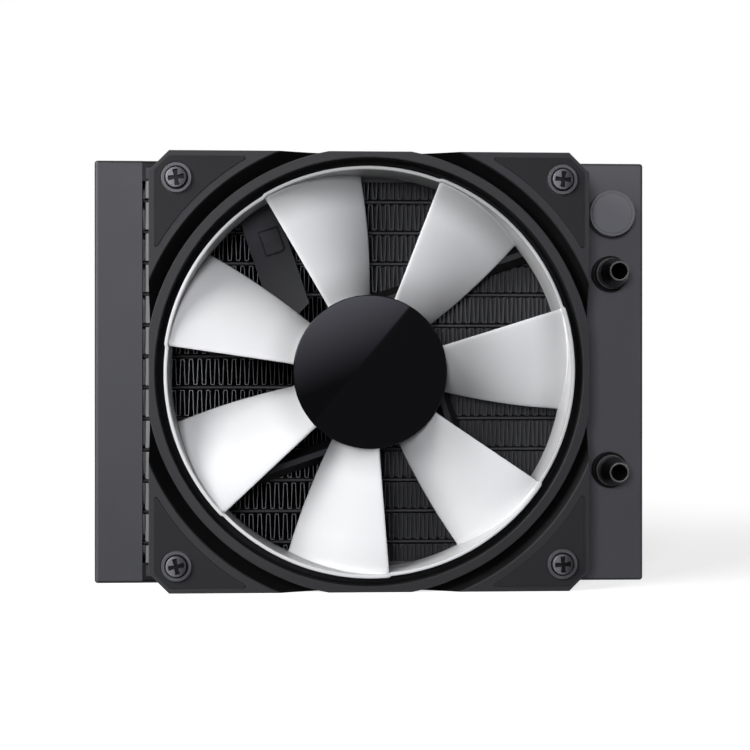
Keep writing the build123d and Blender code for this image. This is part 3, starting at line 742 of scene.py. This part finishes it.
def fin_shade(tree):
    """Painted light: up to twice as light at left, dark beside the hub, darker at right, most on cut edges.
    """
    x, y, _, radius = place_in_mm(tree)
    near_hub = ramp(tree, radius, FIN_HUB_SPAN, FIN_HUB_DARK, 0.0)
    beside_hub = product(tree, near_hub, fall(tree, x, FIN_HUB_SIDE))
    lit = product(tree, ramp(tree, x, FIN_LIT_START), fall(tree, x, FIN_LIT_END))
    left = product(tree, arithmetic(tree, "ADD", 1.0, lit), minus(tree, 1.0, beside_hub))
    right = ramp(tree, x, FIN_TURN)
    cut_edges = product(tree, right, fall(tree, y, FIN_CUT_EDGE))
    return product(tree, left, less(tree, right, FIN_RIGHT_DARK), less(tree, cut_edges, FIN_CUT_DARK))


print("tubes", TUBE_COUNT, "with a pitch of", round(tube_pitch, 2), "mm")

# %% [markdown]
# The fittings are blacked metal, with a painted highlight on the rim round the bore and on the step of the
# collar. The screws' crossed recesses and the gap round each head are too narrow for light to come out, so
# they get painted shade, and each head a painted highlight at its left. A second material on those faces
# would work as well, but it would need faces cut exactly there.

# %% Painted light on fittings, screws and washers
PORT_X = 69.95
PORT_RISE = 28.1
# painted highlight on the fittings' rims and collar steps
RIM_FRONT = (-43.45, -43.2)
RIM_RADIUS = (2.2, 2.3)
RIM_HIGHLIGHT_GAIN = 15.0
STEP_FRONT = (-32.25, -32.0)
STEP_RADIUS = (4.0, 4.1)
STEP_HIGHLIGHT_GAIN = 10.0
HOLE_OFFSET = 52.5
# painted shade in the screws' recesses, painted highlight at each head's left and painted shade at its right
RECESS_RADIUS = (2.3, 2.4)
RECESS_DEPTH = (-53.72, -53.5)
RECESS_DARK = 0.9
HEAD_LIGHT_SPAN = (-2.6, 2.2)
HEAD_LIGHT_SHARES = (2.6, 0.55)
# painted shade in the gap round each screw's head
GAP_RADIUS = (3.18, 3.24)
GAP_SHARE = 0.06


def fitting_painted_highlight(tree):
    """Painted highlight: many times the black's brightness on the rim and the collar's step, by depth and
    radius.
    """
    x, y, z, _ = place_in_mm(tree)
    out = distance(tree, minus(tree, x, PORT_X), minus(tree, unsigned(tree, z), PORT_RISE))
    rim = product(tree, fall(tree, y, RIM_FRONT), ramp(tree, out, RIM_RADIUS), RIM_HIGHLIGHT_GAIN)
    step = product(tree, fall(tree, y, STEP_FRONT), ramp(tree, out, STEP_RADIUS), STEP_HIGHLIGHT_GAIN)
    return arithmetic(tree, "ADD", 1.0, arithmetic(tree, "ADD", rim, step))


def from_screw(tree, x, z):
    """The distance from the nearest screw's axis."""
    return distance(tree, *(minus(tree, unsigned(tree, value), HOLE_OFFSET) for value in (x, z)))


def recess_shade(tree):
    """Painted shade, black in the recess within the head and behind its face, and painted light at the left.
    """
    x, y, z, _ = place_in_mm(tree)
    inside = fall(tree, from_screw(tree, x, z), RECESS_RADIUS)
    recess = less(tree, product(tree, inside, ramp(tree, y, RECESS_DEPTH)), RECESS_DARK)
    right = minus(tree, x, product(tree, arithmetic(tree, "SIGN", x), HOLE_OFFSET))
    return product(tree, recess, ramp(tree, right, HEAD_LIGHT_SPAN, *HEAD_LIGHT_SHARES))


def washer_shade(tree):
    """Painted shade: black in the narrow gap between the screw's head and the washer's raised ring."""
    x, _, z, _ = place_in_mm(tree)
    return ramp(tree, from_screw(tree, x, z), GAP_RADIUS, GAP_SHARE, 1.0)


print("fittings at", (PORT_X, PORT_RISE), "and screws at", HOLE_OFFSET, "mm from the axis both ways")

# %% [markdown]
# ### One recipe for all materials
#
# Paint, plastic, rubber and metal differ in colour, roughness, metallic share and grain, and hardly in how
# they are built. So one function makes them all and each finish is one call. Colours are given as grey
# levels as read on a screen, because that is what a photograph shows, and turned into the linear values that
# shaders use.

# %% A finish
USUAL_NOISE = (0.3, 0.7)


def grey(level, blue=1.0):
    """A grey from 0 to 255, turned into linear light, with its blue changed by a factor."""
    value = level / 255
    linear = value / 12.92 if value <= 0.04045 else ((value + 0.055) / 1.055) ** 2.4
    return (linear, linear, linear * blue, 1)


def finish(name, colour, roughness, metallic=0.0, spread=0.05, tone_scale=60.0, grain_scale=2500.0,
           grain_depth=0.004, rough_spread=0.08, dust=0.06, painted_light=None, specular=0.5):
    """A material: toned and dusted colour, roughness that follows the tone, and the grain as a bump.

    The grain's depth is in millimetres. Painted light is a function that gives a share by place, which scales
    the colour: painted shade below one and painted highlights above one.
    """
    material = bpy.data.materials.new(name)
    material.use_nodes = True
    tree = material.node_tree
    tree.nodes.clear()
    numbers = {"Color": colour, "Spread": spread, "Tone Scale": tone_scale, "Grain Scale": grain_scale}
    toned = node(tree, "ShaderNodeGroup", node_tree=TONE)
    for key, value in numbers.items():
        toned.inputs[key].default_value = value
    dusted = node(tree, "ShaderNodeGroup", node_tree=DUST)
    dusted.inputs["Dust"].default_value = dust
    tree.links.new(toned.outputs["Color"], dusted.inputs["Color"])
    seen = dusted.outputs["Color"]
    # painted light: painted shade and painted highlights scale the colour by place
    if painted_light:
        scaled = node(tree, "ShaderNodeVectorMath", {0: seen, "Scale": painted_light(tree)}, operation="SCALE")
        seen = scaled.outputs[0]
    rough_span = {"Value": toned.outputs["Tone"], "From Min": USUAL_NOISE[0], "From Max": USUAL_NOISE[1],
                  "To Min": roughness - rough_spread, "To Max": roughness + rough_spread}
    rough = node(tree, "ShaderNodeMapRange", rough_span).outputs[0]
    bump = node(tree, "ShaderNodeBump", {"Height": toned.outputs["Grain"], "Distance": grain_depth * MM})
    inputs = {"Base Color": seen, "Roughness": rough, "Metallic": metallic, "Normal": bump.outputs[0],
              "Specular IOR Level": specular}
    surface = node(tree, "ShaderNodeBsdfPrincipled", inputs)
    node(tree, "ShaderNodeOutputMaterial", {"Surface": surface.outputs[0]})
    return material


print("a grey of 128 on the screen is", round(grey(128)[0], 3), "in linear light")

# %% [markdown]
# The radiator wears a satin dark grey paint, the fan's frame is matt plastic, its pads are rubber, and the
# hub's cap is polished. The motor's metals don't show in the picture, but they belong to the model. Three
# kinds of painted pieces differ from their slot's own finish. The left tank stands nearer to the key lamp and
# takes a darker grey as painted shade, so that both tanks come out as in the photograph, and side plates and
# tubes have painted shades of their own.

# %% The finishes
PAINT = {"roughness": 0.42, "spread": 0.03, "grain_scale": 1400, "grain_depth": 0.01, "painted_light": tank_shade}

finishes = {
    "tank_paint": finish("tank paint", grey(88, 1.08), **PAINT),
    "core_paint": finish("core paint", grey(114, 1.03), 0.5, spread=0.12, grain_scale=2200, painted_light=fin_shade),
    "fitting_black": finish("fitting black", grey(18), 0.3, grain_scale=1500, grain_depth=0.002,
                            painted_light=fitting_painted_highlight, specular=0.2),
    "cap_paint": finish("cap paint", grey(117, 1.07), 0.4, grain_scale=1400, grain_depth=0.01),
    "seal_rubber": finish("seal rubber", grey(20), 0.75, spread=0.1),
    "frame_plastic": finish("frame plastic", grey(52, 1.06), 0.5, grain_scale=3000, grain_depth=0.006,
                            painted_light=frame_shade),
    "pad_rubber": finish("pad rubber", grey(38, 1.05), 0.72, spread=0.1, grain_scale=1800, grain_depth=0.008),
    "screw_metal": finish("screw metal", grey(92, 1.05), 0.4, metallic=0.5, spread=0.08, grain_scale=3500,
                          painted_light=recess_shade),
    "washer_metal": finish("washer metal", grey(104, 1.05), 0.4, metallic=0.5, spread=0.06, grain_scale=3500,
                           painted_light=washer_shade),
    "blade_white": finish("blade white", grey(236), 0.38, spread=0.015, grain_scale=1800, grain_depth=0.003,
                          dust=0.02, painted_light=blade_shade),
    "hub_gloss": finish("hub gloss", grey(13, 1.15), 0.015, spread=0.03, rough_spread=0.003, grain_depth=0.0,
                        dust=0.02),
    "bright_steel": finish("bright steel", grey(180), 0.25, metallic=1.0, spread=0.06),
    "magnet_grey": finish("magnet grey", grey(60), 0.6, spread=0.1),
    "bronze": finish("bronze", (0.42, 0.24, 0.10, 1), 0.35, metallic=1.0, spread=0.1),
    "tube_brass": finish("tube brass", (0.62, 0.45, 0.18, 1), 0.3, metallic=1.0, spread=0.06),
    "former_plastic": finish("former plastic", grey(205), 0.5),
    "winding_copper": finish("winding copper", (0.52, 0.19, 0.08, 1), 0.3, metallic=0.8, spread=0.1),
    "board_green": finish("board green", (0.012, 0.09, 0.035, 1), 0.4, spread=0.15),
}
# painted shade: a darker copy of the tank paint for the tank nearer to the key lamp
left_tank_shaded_paint = finish("left tank shaded paint", grey(71, 1.08), **PAINT)
plate_paint = finish("side plate paint", grey(80, 1.06), 0.46, spread=0.04, painted_light=plate_shade)
tube_paint = finish("tube paint", grey(66, 1.03), 0.5, spread=0.1, grain_scale=2200, painted_light=tube_shade)
print("finishes for", len(finishes), "slots and 3 kinds of pieces")

# %% Finishes on the solids
own_finishes = {"left_tank": left_tank_shaded_paint, "flat_tube": tube_paint, "top_side_plate": plate_paint,
                "bottom_side_plate": plate_paint}
for label, part in nodes.items():
    slot_name = part.data.materials[0].name.split(".")[0]
    part.data.materials.clear()
    part.data.materials.append(own_finishes.get(label.rstrip("_0123456789"), finishes[slot_name]))
print("solids with a finish", len(nodes))

# %% [markdown]
# ## Folded fins
#
# A fin strip is one thin sheet folded into a wave. Its legs lean a little, and its crests are flat where they
# are brazed to the tubes. Real fins have louvres pressed into them, so nobody can look straight through. Here
# the sheet shifts sideways in a gentle wave on its way back, which closes the view in the same way with few
# faces. On the right it turns to the left at once, because there the photograph shows lit sheet between the
# legs, as leaning louvres give. At both ends the last leg is bent round and stands in front of the header, as
# a small tab. Bending a plane with modifiers would work too, but a folded line carried along a path is exact.

# %% Fins
FIN_LEFT = -62.8
FIN_RIGHT = 59.2
FIN_WAVES = 50
FIN_SHEET = 0.2
FIN_LEAN = 0.26
FIN_ROUND = 0.13
FIN_OUTER = 58.77
FIN_BESIDE_TUBE = 0.73
FIN_DEPTHS = (-25.5, -18.0, -13.5, -6.5, -3.2, -1.5)
FIN_LEFT_SHIFTS = (0.0, 0.0, 1.1, -1.1, 0.0, 0.0)
FIN_RIGHT_SHIFTS = (0.0, -1.9, 1.1, -1.1, 0.0, 0.0)


def fold_line(low, high):
    """The sheet's middle line: per half wave it leans from one crest to the other and runs flat along it."""
    half = (FIN_RIGHT - FIN_LEFT) / FIN_WAVES / 2
    start = FIN_LEFT + half * np.arange(2 * FIN_WAVES)
    steps = np.array([0.0, FIN_LEAN, FIN_LEAN + FIN_ROUND, half - FIN_ROUND])
    rise = np.array([low + FIN_ROUND, high - FIN_ROUND, high, high])
    up = np.arange(2 * FIN_WAVES)[:, None] % 2 == 0
    z = np.where(up, rise, low + high - rise)
    return np.stack([(start[:, None] + steps).ravel(), z.ravel()], axis=-1)


def thickened(line, thickness):
    """A closed outline round an open line, which is moved half a thickness to each side along its normals."""
    along = np.gradient(line, axis=0)
    along /= np.linalg.norm(along, axis=1, keepdims=True)
    aside = np.stack([-along[:, 1], along[:, 0]], axis=-1) * thickness / 2
    return np.concatenate([line + aside, (line - aside)[::-1]])


def end_strip(row):
    """A strip of faces between the two halves of a thickened line, which closes its end."""
    half = len(row) // 2
    return quads(np.stack([row[:half], row[half:][::-1]]))


def folded_fin(low, high):
    """The folded outline at each depth, moved sideways by that depth's shift, with both cut edges closed.

    The shift goes over from the left part's to the right part's by t^2 (3 - 2t) over the turn.
    """
    half_sheet = FIN_SHEET / 2
    outline = thickened(fold_line(low + half_sheet, high - half_sheet), FIN_SHEET)
    depth, left, right = np.array([FIN_DEPTHS, FIN_LEFT_SHIFTS, FIN_RIGHT_SHIFTS])[:, :, None]
    t = np.clip((outline[:, 0] - FIN_TURN[0]) / (FIN_TURN[1] - FIN_TURN[0]), 0, 1)
    x = outline[:, 0] + left + (right - left) * t**2 * (3 - 2 * t)
    z = np.broadcast_to(outline[None, :, 1], x.shape)
    sheet = np.stack([x, np.broadcast_to(depth, x.shape), z], axis=-1)
    return [quads(sheet, wrap_columns=True), end_strip(sheet[0]), end_strip(sheet[-1])]


print("a fin's outline has", len(thickened(fold_line(0, 7), FIN_SHEET)), "points")

# %% End tabs and strips
TAB_WIDTH = 1.45
TAB_DEPTH = 0.5
TAB_INSET = 0.22
TAB_FRONT = -26.9
TAB_PAST = 0.15
TAB_STEPS = 7


def end_tab(low, high, end, inwards):
    """The last leg, bent round: x = end + w (1 - cos a), y = front + d (1 - sin a), a up to 90 degrees."""
    a = np.linspace(0, np.pi / 2, TAB_STEPS)
    x, y = end + inwards * TAB_WIDTH * (1 - np.cos(a)), TAB_FRONT + TAB_DEPTH * (1 - np.sin(a))
    plan = thickened(np.stack([x, y], axis=-1), FIN_SHEET)
    grid = np.stack([np.insert(plan, 2, z, axis=1) for z in (low - TAB_PAST, high + TAB_PAST)])
    return [quads(grid, wrap_columns=True), end_strip(grid[0]), end_strip(grid[1])]


tube_heights = (np.arange(TUBE_COUNT) - (TUBE_COUNT - 1) / 2) * tube_pitch
row_lows = [-FIN_OUTER, *(tube_heights + FIN_BESIDE_TUBE)]
row_highs = [*(tube_heights - FIN_BESIDE_TUBE), FIN_OUTER]
for number, (low, high) in enumerate(zip(row_lows, row_highs), 1):
    label = f"fin_strip_{number:02d}"
    strip = folded_fin(low, high) + end_tab(low, high, FIN_LEFT + TAB_INSET, 1)
    strip += end_tab(low, high, FIN_RIGHT - TAB_INSET, -1)
    piece(f"folded_fin_{number:02d}", strip, "cooler", [label], finishes["core_paint"])

# %% [markdown]
# ## The fan's rotor
#
# Hub, seven blades and the outer ring are one white moulding. A blade's section is a bent sheet with rounded
# edges; the section turns and widens with the radius, so that the blade is a twisted surface. At a radius r,
# an edge that crosses the axis plane at c and leaves it with a slope m stands at the angle
# atan(m) + asin(c / (r sqrt(1 + m^2))). Near the hub and the ring the sheet thickens into a small fillet. A
# blade could be bent from a flat mesh with modifiers, but its edges would only come near the measured lines.

# %% A blade's edges and thickness
HUB_RADIUS = 20.6
RING_INSIDE = 55.0
LEAD_LINE = (0.8, 0.2587)
TRAIL_LINE = (-1.94, -0.2111)
BLADE_MIDDLE = 1.7
BLADE_EDGE = 0.8
BLADE_SQUARENESS = 40
FILLET_WIDTH = 0.55
FILLET_GROWTH = 1.1


def edge_angle(radius, offset, slope):
    """The angle at which an edge line stands at a radius: atan(m) + asin(c / (r sqrt(1 + m^2)))."""
    return math.atan(slope) + np.arcsin(offset / (radius * math.sqrt(1 + slope**2)))


def blade_half(u, turn, radius):
    """Half the sheet's thickness at u, signed by the side.

    It is the edge's plus 4 u (1 - u) times what the middle has more, and grows by an exponential near both
    walls. A factor sqrt(1 - |2u - 1|^n) with a high n rounds off the ends.
    """
    to_wall = np.minimum(radius - HUB_RADIUS, RING_INSIDE - radius)
    growth = FILLET_GROWTH * np.exp(-np.maximum(to_wall, 0) / FILLET_WIDTH)
    body = BLADE_EDGE + (BLADE_MIDDLE - BLADE_EDGE) * 4 * u * (1 - u)
    return (body + growth) / 2 * np.sqrt(1 - np.abs(2 * u - 1) ** BLADE_SQUARENESS) * np.sign(np.sin(turn))


for name, radius in (("hub", HUB_RADIUS), ("ring", RING_INSIDE)):
    width = math.degrees(edge_angle(radius, *LEAD_LINE) - edge_angle(radius, *TRAIL_LINE))
    print("at the", name, "a blade spans", round(width, 1), "degrees")

# %% A blade's surface
WALL_OVERLAP = 0.5
LEAD_DEPTH = -49.8
TRAIL_DEPTH = -34.1
TRAIL_BULGE = 0.85
BLADE_CAMBER = 2.0


def blade_surface(angle, around=56, across=26):
    """A closed sheet: rows follow the radius from hub to ring, columns go round the section.

    The trailing edge bulges by 4 s (1 - s) over the span s. The place along the chord is u = (1 - cos p) / 2.
    The middle line is the chord plus 4 u (1 - u) times the camber towards the front, and the half thickness
    is added to it along the same normal.
    """
    inside, outside = HUB_RADIUS - WALL_OVERLAP, RING_INSIDE + WALL_OVERLAP
    share = (1 - np.cos(np.linspace(0, np.pi, across))) / 2
    radius = (inside + (outside - inside) * share)[:, None]
    turn = np.linspace(0, 2 * np.pi, around, endpoint=False)[None, :]
    u = (1 - np.cos(turn)) / 2
    lead = edge_angle(radius, *LEAD_LINE) * radius
    span = (radius - HUB_RADIUS) / (RING_INSIDE - HUB_RADIUS)
    trail = edge_angle(radius, *TRAIL_LINE) * radius - 4 * span * (1 - span) * TRAIL_BULGE
    chord_side, chord_depth = trail - lead, TRAIL_DEPTH - LEAD_DEPTH
    chord = np.hypot(chord_side, chord_depth)
    normal_side, normal_depth = chord_depth / chord, -chord_side / chord
    to_front = np.where(normal_depth > 0, -1, 1)
    lift = (4 * u * (1 - u) * BLADE_CAMBER + blade_half(u, turn, radius)) * to_front
    side = lead + chord_side * u + normal_side * lift
    depth = LEAD_DEPTH + chord_depth * u + normal_depth * lift
    theta = math.radians(angle) + side / radius
    y = np.broadcast_to(depth, theta.shape)
    return np.stack([radius * np.cos(theta), y, radius * np.sin(theta)], axis=-1)


def capped(points):
    """A tube of rows whose first and last rows are closed by a strip between the row's two halves."""
    count = points.shape[1] // 2 + 1
    halves = [(row[:count], np.roll(row, -1, axis=0)[::-1][:count]) for row in (points[0], points[-1])]
    return [quads(points, wrap_columns=True)] + [quads(np.stack(pair)) for pair in halves]


print("a blade has", len(merged(capped(blade_surface(0)))[1]), "faces")

# %% [markdown]
# The hub is a cup with a seat for its glossy cap, and the ring is a plain band whose front lip steps forwards
# at each blade's leading edge. Both are turned outlines, and the ring's lip is then moved by its angle. All
# grids go into one piece, as the moulding is one. They overlap instead of being cut to each other, which
# leaves every grid as regular as it was made.

# %% Hub
HUB_FRONT = -50.3
HUB_INSIDE = 19.6
HUB_FLOOR = -48.9
HUB_ROUNDING = 0.25
HUB_BOSS_RADIUS = 3.0
HUB_BOSS_BACK = -46.9
CAP_SEAT_RADIUS = 17.05
CAP_SEAT = -49.8
SHAFT_HOLE = 1.51
SHAFT_HOLE_FRONT = -49.6
ROTOR_BACK = -33.4
hub_section = [
    (0, SHAFT_HOLE_FRONT),
    (SHAFT_HOLE, SHAFT_HOLE_FRONT),
    (SHAFT_HOLE, HUB_BOSS_BACK),
    (HUB_BOSS_RADIUS, HUB_BOSS_BACK),
    (HUB_BOSS_RADIUS, HUB_FLOOR),
    (HUB_INSIDE, HUB_FLOOR),
    (HUB_INSIDE, ROTOR_BACK),
    (HUB_RADIUS, ROTOR_BACK),
    (HUB_RADIUS, HUB_FRONT),
    (CAP_SEAT_RADIUS, HUB_FRONT),
    (CAP_SEAT_RADIUS, CAP_SEAT),
    (0, CAP_SEAT),
]


def closed_turning(outline, radius, steps=3, centre=(0.0, 0.0)):
    """A solid whose outline starts and ends on the axis, where its end rows shrink to one point each."""
    return quads(turned(rounded(outline, radius, steps, closed=False), centre=centre), wrap_columns=True)


hub_part = closed_turning(hub_section, HUB_ROUNDING)
print("hub of", len(hub_part[1]), "faces")

# %% Ring, and the rotor as one piece
RING_FRONT = -50.9
RING_RADIUS = 56.0
RING_ROUNDING = 0.42
RING_STEP = 0.45
RING_GROWTH = 0.36
RING_STEP_LEAD = 15.3
BLADE_COUNT = 7
BLADE_ANGLE = 3.0
ROTOR_CREASE = 45.0
ring_section = [
    (RING_INSIDE, RING_FRONT),
    (RING_RADIUS, RING_FRONT),
    (RING_RADIUS, ROTOR_BACK),
    (RING_INSIDE, ROTOR_BACK),
]


def stepped_ring(count=420):
    """The ring, whose lip steps forwards and outwards at each leading edge and falls back over the blade."""
    grid = turned(rounded(ring_section, RING_ROUNDING, 5), count)
    angle = np.linspace(0, 2 * np.pi, count, endpoint=False)
    share = (angle - math.radians(BLADE_ANGLE + RING_STEP_LEAD)) * BLADE_COUNT / (2 * np.pi) % 1
    front = grid[..., 1] < (RING_FRONT + ROTOR_BACK) / 2
    grid[..., 1] -= front * RING_STEP * share
    grid[..., [0, 2]] *= (1 + front * share * RING_GROWTH / RING_RADIUS)[..., None]
    return quads(grid, wrap_rows=True, wrap_columns=True)


rotor_parts = [hub_part, stepped_ring()]
for i in range(BLADE_COUNT):
    rotor_parts += capped(blade_surface(BLADE_ANGLE + i * 360 / BLADE_COUNT))
piece("bladed_rotor", rotor_parts, "rotor", ["impeller"], finishes["blade_white"],
      ROTOR_CREASE)

# %% [markdown]
# ## Turned metal and plastic
#
# Fittings, filler cap, cup washers and screws are turned parts, so a section of a few points, with its
# corners rounded, is carried round its own axis. A cylinder with bevelled edges would do for the cap, but the
# fittings' tapered noses need a section anyway. The rounding matters more than it seems: a lit edge is what
# tells the eye that a dark part is solid.

# %% Fittings
TANK_FRONT = -27.0
SPIGOT_END = TANK_FRONT + 3.2
SPIGOT_RADIUS = 3.4
BORE_RADIUS = 2.26
FLANGE_RADIUS = 5.15
FLANGE_FRONT = -29.6
NECK_RADIUS = 3.9
COLLAR_BACK = -31.2
COLLAR_RADIUS = 4.45
COLLAR_FRONT = -32.3
NOSE_RADIUS = 4.1
TAPER_START = -36.0
TIP_RADIUS = 2.73
TIP_FRONT = -43.5
FITTING_ROUNDING = 0.22
fitting_section = [
    (BORE_RADIUS, SPIGOT_END),
    (SPIGOT_RADIUS, SPIGOT_END),
    (SPIGOT_RADIUS, TANK_FRONT),
    (FLANGE_RADIUS, TANK_FRONT),
    (FLANGE_RADIUS, FLANGE_FRONT),
    (NECK_RADIUS, FLANGE_FRONT),
    (NECK_RADIUS, COLLAR_BACK),
    (COLLAR_RADIUS, COLLAR_BACK),
    (COLLAR_RADIUS, COLLAR_FRONT),
    (NOSE_RADIUS, COLLAR_FRONT),
    (NOSE_RADIUS, TAPER_START),
    (TIP_RADIUS, TIP_FRONT),
    (BORE_RADIUS, TIP_FRONT),
]


def solid_ring(outline, radius, count, centre):
    """A ring whose closed section has rounded corners, carried round an axis."""
    return quads(turned(rounded(outline, radius, 3), count, centre), wrap_rows=True, wrap_columns=True)


for label, rise in (("upper_fitting", PORT_RISE), ("lower_fitting", -PORT_RISE)):
    part = solid_ring(fitting_section, FITTING_ROUNDING, 72, (PORT_X, rise))
    piece(f"black_{label}", [part], "cooler", [label], finishes["fitting_black"])

# %% [markdown]
# The filler cap is a flat disc with a fine groove near its rim and a plug behind it. The groove could be a
# bump in the finish, but three more points in the section make it real, and it then holds in close-ups.

# %% Filler cap
CAP_RISE = 45.1
CAP_FRONT = -33.0
CAP_BACK = -28.0
CAP_RADIUS = 6.5
CAP_GROOVE_RADII = (5.55, 5.75, 5.95)
CAP_GROOVE_FLOOR = CAP_FRONT + 0.18
PLUG_RADIUS = 3.2
PLUG_END = -23.0
CAP_ROUNDING = 0.4
CAP_CREASE = 50.0
cap_section = [
    (0, CAP_FRONT),
    (CAP_GROOVE_RADII[0], CAP_FRONT),
    (CAP_GROOVE_RADII[1], CAP_GROOVE_FLOOR),
    (CAP_GROOVE_RADII[2], CAP_FRONT),
    (CAP_RADIUS, CAP_FRONT),
    (CAP_RADIUS, CAP_BACK),
    (PLUG_RADIUS, CAP_BACK),
    (PLUG_RADIUS, PLUG_END),
    (0, PLUG_END),
]
cap_part = closed_turning(cap_section, CAP_ROUNDING, 4, (PORT_X, CAP_RISE))
piece("filler_cap", [cap_part], "cooler", ["fill_cap"], finishes["cap_paint"], CAP_CREASE)

# %% [markdown]
# A raised ring stands round each screw's head, and a narrow gap lies between them, dark with painted shade.
# It is made as a cup washer, a turned ring with a step inside. One ring could be copied three times as linked
# objects, but the solids hold all four in one node, and so does this mesh.

# %% Cup washers
FRAME_FRONT = -51.7
WASHER_FLOOR = FRAME_FRONT - 0.4
WASHER_FRONT = FRAME_FRONT - 1.1
WASHER_HOLE = 2.15
WASHER_INSIDE = 3.18
WASHER_RADIUS = 4.08
WASHER_ROUNDING = 0.12
washer_section = [
    (WASHER_HOLE, FRAME_FRONT),
    (WASHER_RADIUS, FRAME_FRONT),
    (WASHER_RADIUS, WASHER_FRONT),
    (WASHER_INSIDE, WASHER_FRONT),
    (WASHER_INSIDE, WASHER_FLOOR),
    (WASHER_HOLE, WASHER_FLOOR),
]
holes = [(x, z) for x in (-HOLE_OFFSET, HOLE_OFFSET) for z in (-HOLE_OFFSET, HOLE_OFFSET)]
washers = [solid_ring(washer_section, WASHER_ROUNDING, 64, hole) for hole in holes]
piece("cup_washers", washers, "cooler", ["screw_washers"], finishes["washer_metal"])

# %% [markdown]
# A pan head has a flat face with a crossed recess whose arms widen outwards. It is a turned grid whose points
# inside the cross are moved back, by a share that falls from one to zero over a short way at the cross's
# edge. Cutting a cross out with a Boolean would give sharper walls, and long thin faces that shade badly.

# %% Screws
HEAD_RADIUS = 2.8
HEAD_FACE = -53.8
HEAD_SEAT = -52.1
HEAD_ROUNDING = 0.45
FACE_RADIUS = 2.3
FACE_ROWS = 30
SHANK_RADIUS = 1.45
SCREW_TIP = -22.1
CROSS_REACH = 2.15
CROSS_HALF = 0.44
CROSS_FLARE = 0.1
CROSS_DEPTH = 0.8
CROSS_EDGE = 0.07
CROSS_TURNS = (12.0, 8.0, 3.0, -5.0)
head_section = [
    (FACE_RADIUS, HEAD_FACE),
    (HEAD_RADIUS, HEAD_FACE),
    (HEAD_RADIUS, HEAD_SEAT),
    (SHANK_RADIUS, HEAD_SEAT),
    (SHANK_RADIUS, SCREW_TIP),
    (0, SCREW_TIP),
]


def screw_surface(centre, turn):
    """Depth = face + d e(w - n) e((reach - m) / 2) within the head's flat face.

    n and m are the smaller and the larger of |x| and |z|, w is the arm's half width, half + flare m, and e is
    a share that rises from 0 to 1 over the edge's width.
    """
    face = [(r, HEAD_FACE) for r in np.linspace(0, FACE_RADIUS, FACE_ROWS)]
    side = rounded(head_section, HEAD_ROUNDING, 4, closed=False)[1:]
    grid = turned(face + [tuple(p) for p in side], 128)
    x, z = grid[:FACE_ROWS, :, 0], grid[:FACE_ROWS, :, 2]
    cos, sin = math.cos(math.radians(turn)), math.sin(math.radians(turn))
    along, across = np.abs(cos * x + sin * z), np.abs(cos * z - sin * x)
    near, far = np.minimum(along, across), np.maximum(along, across)
    inside = np.clip((CROSS_HALF + CROSS_FLARE * far - near) / CROSS_EDGE, 0, 1)
    inside *= np.clip((CROSS_REACH - far) / (2 * CROSS_EDGE), 0, 1)
    grid[:FACE_ROWS, :, 1] += CROSS_DEPTH * inside
    grid += np.array([centre[0], 0, centre[1]])
    return quads(grid, wrap_columns=True)


screw_parts = [screw_surface(hole, turn) for hole, turn in zip(holes, CROSS_TURNS)]
piece("pan_screws", screw_parts, "cooler", ["screws"], finishes["screw_metal"])
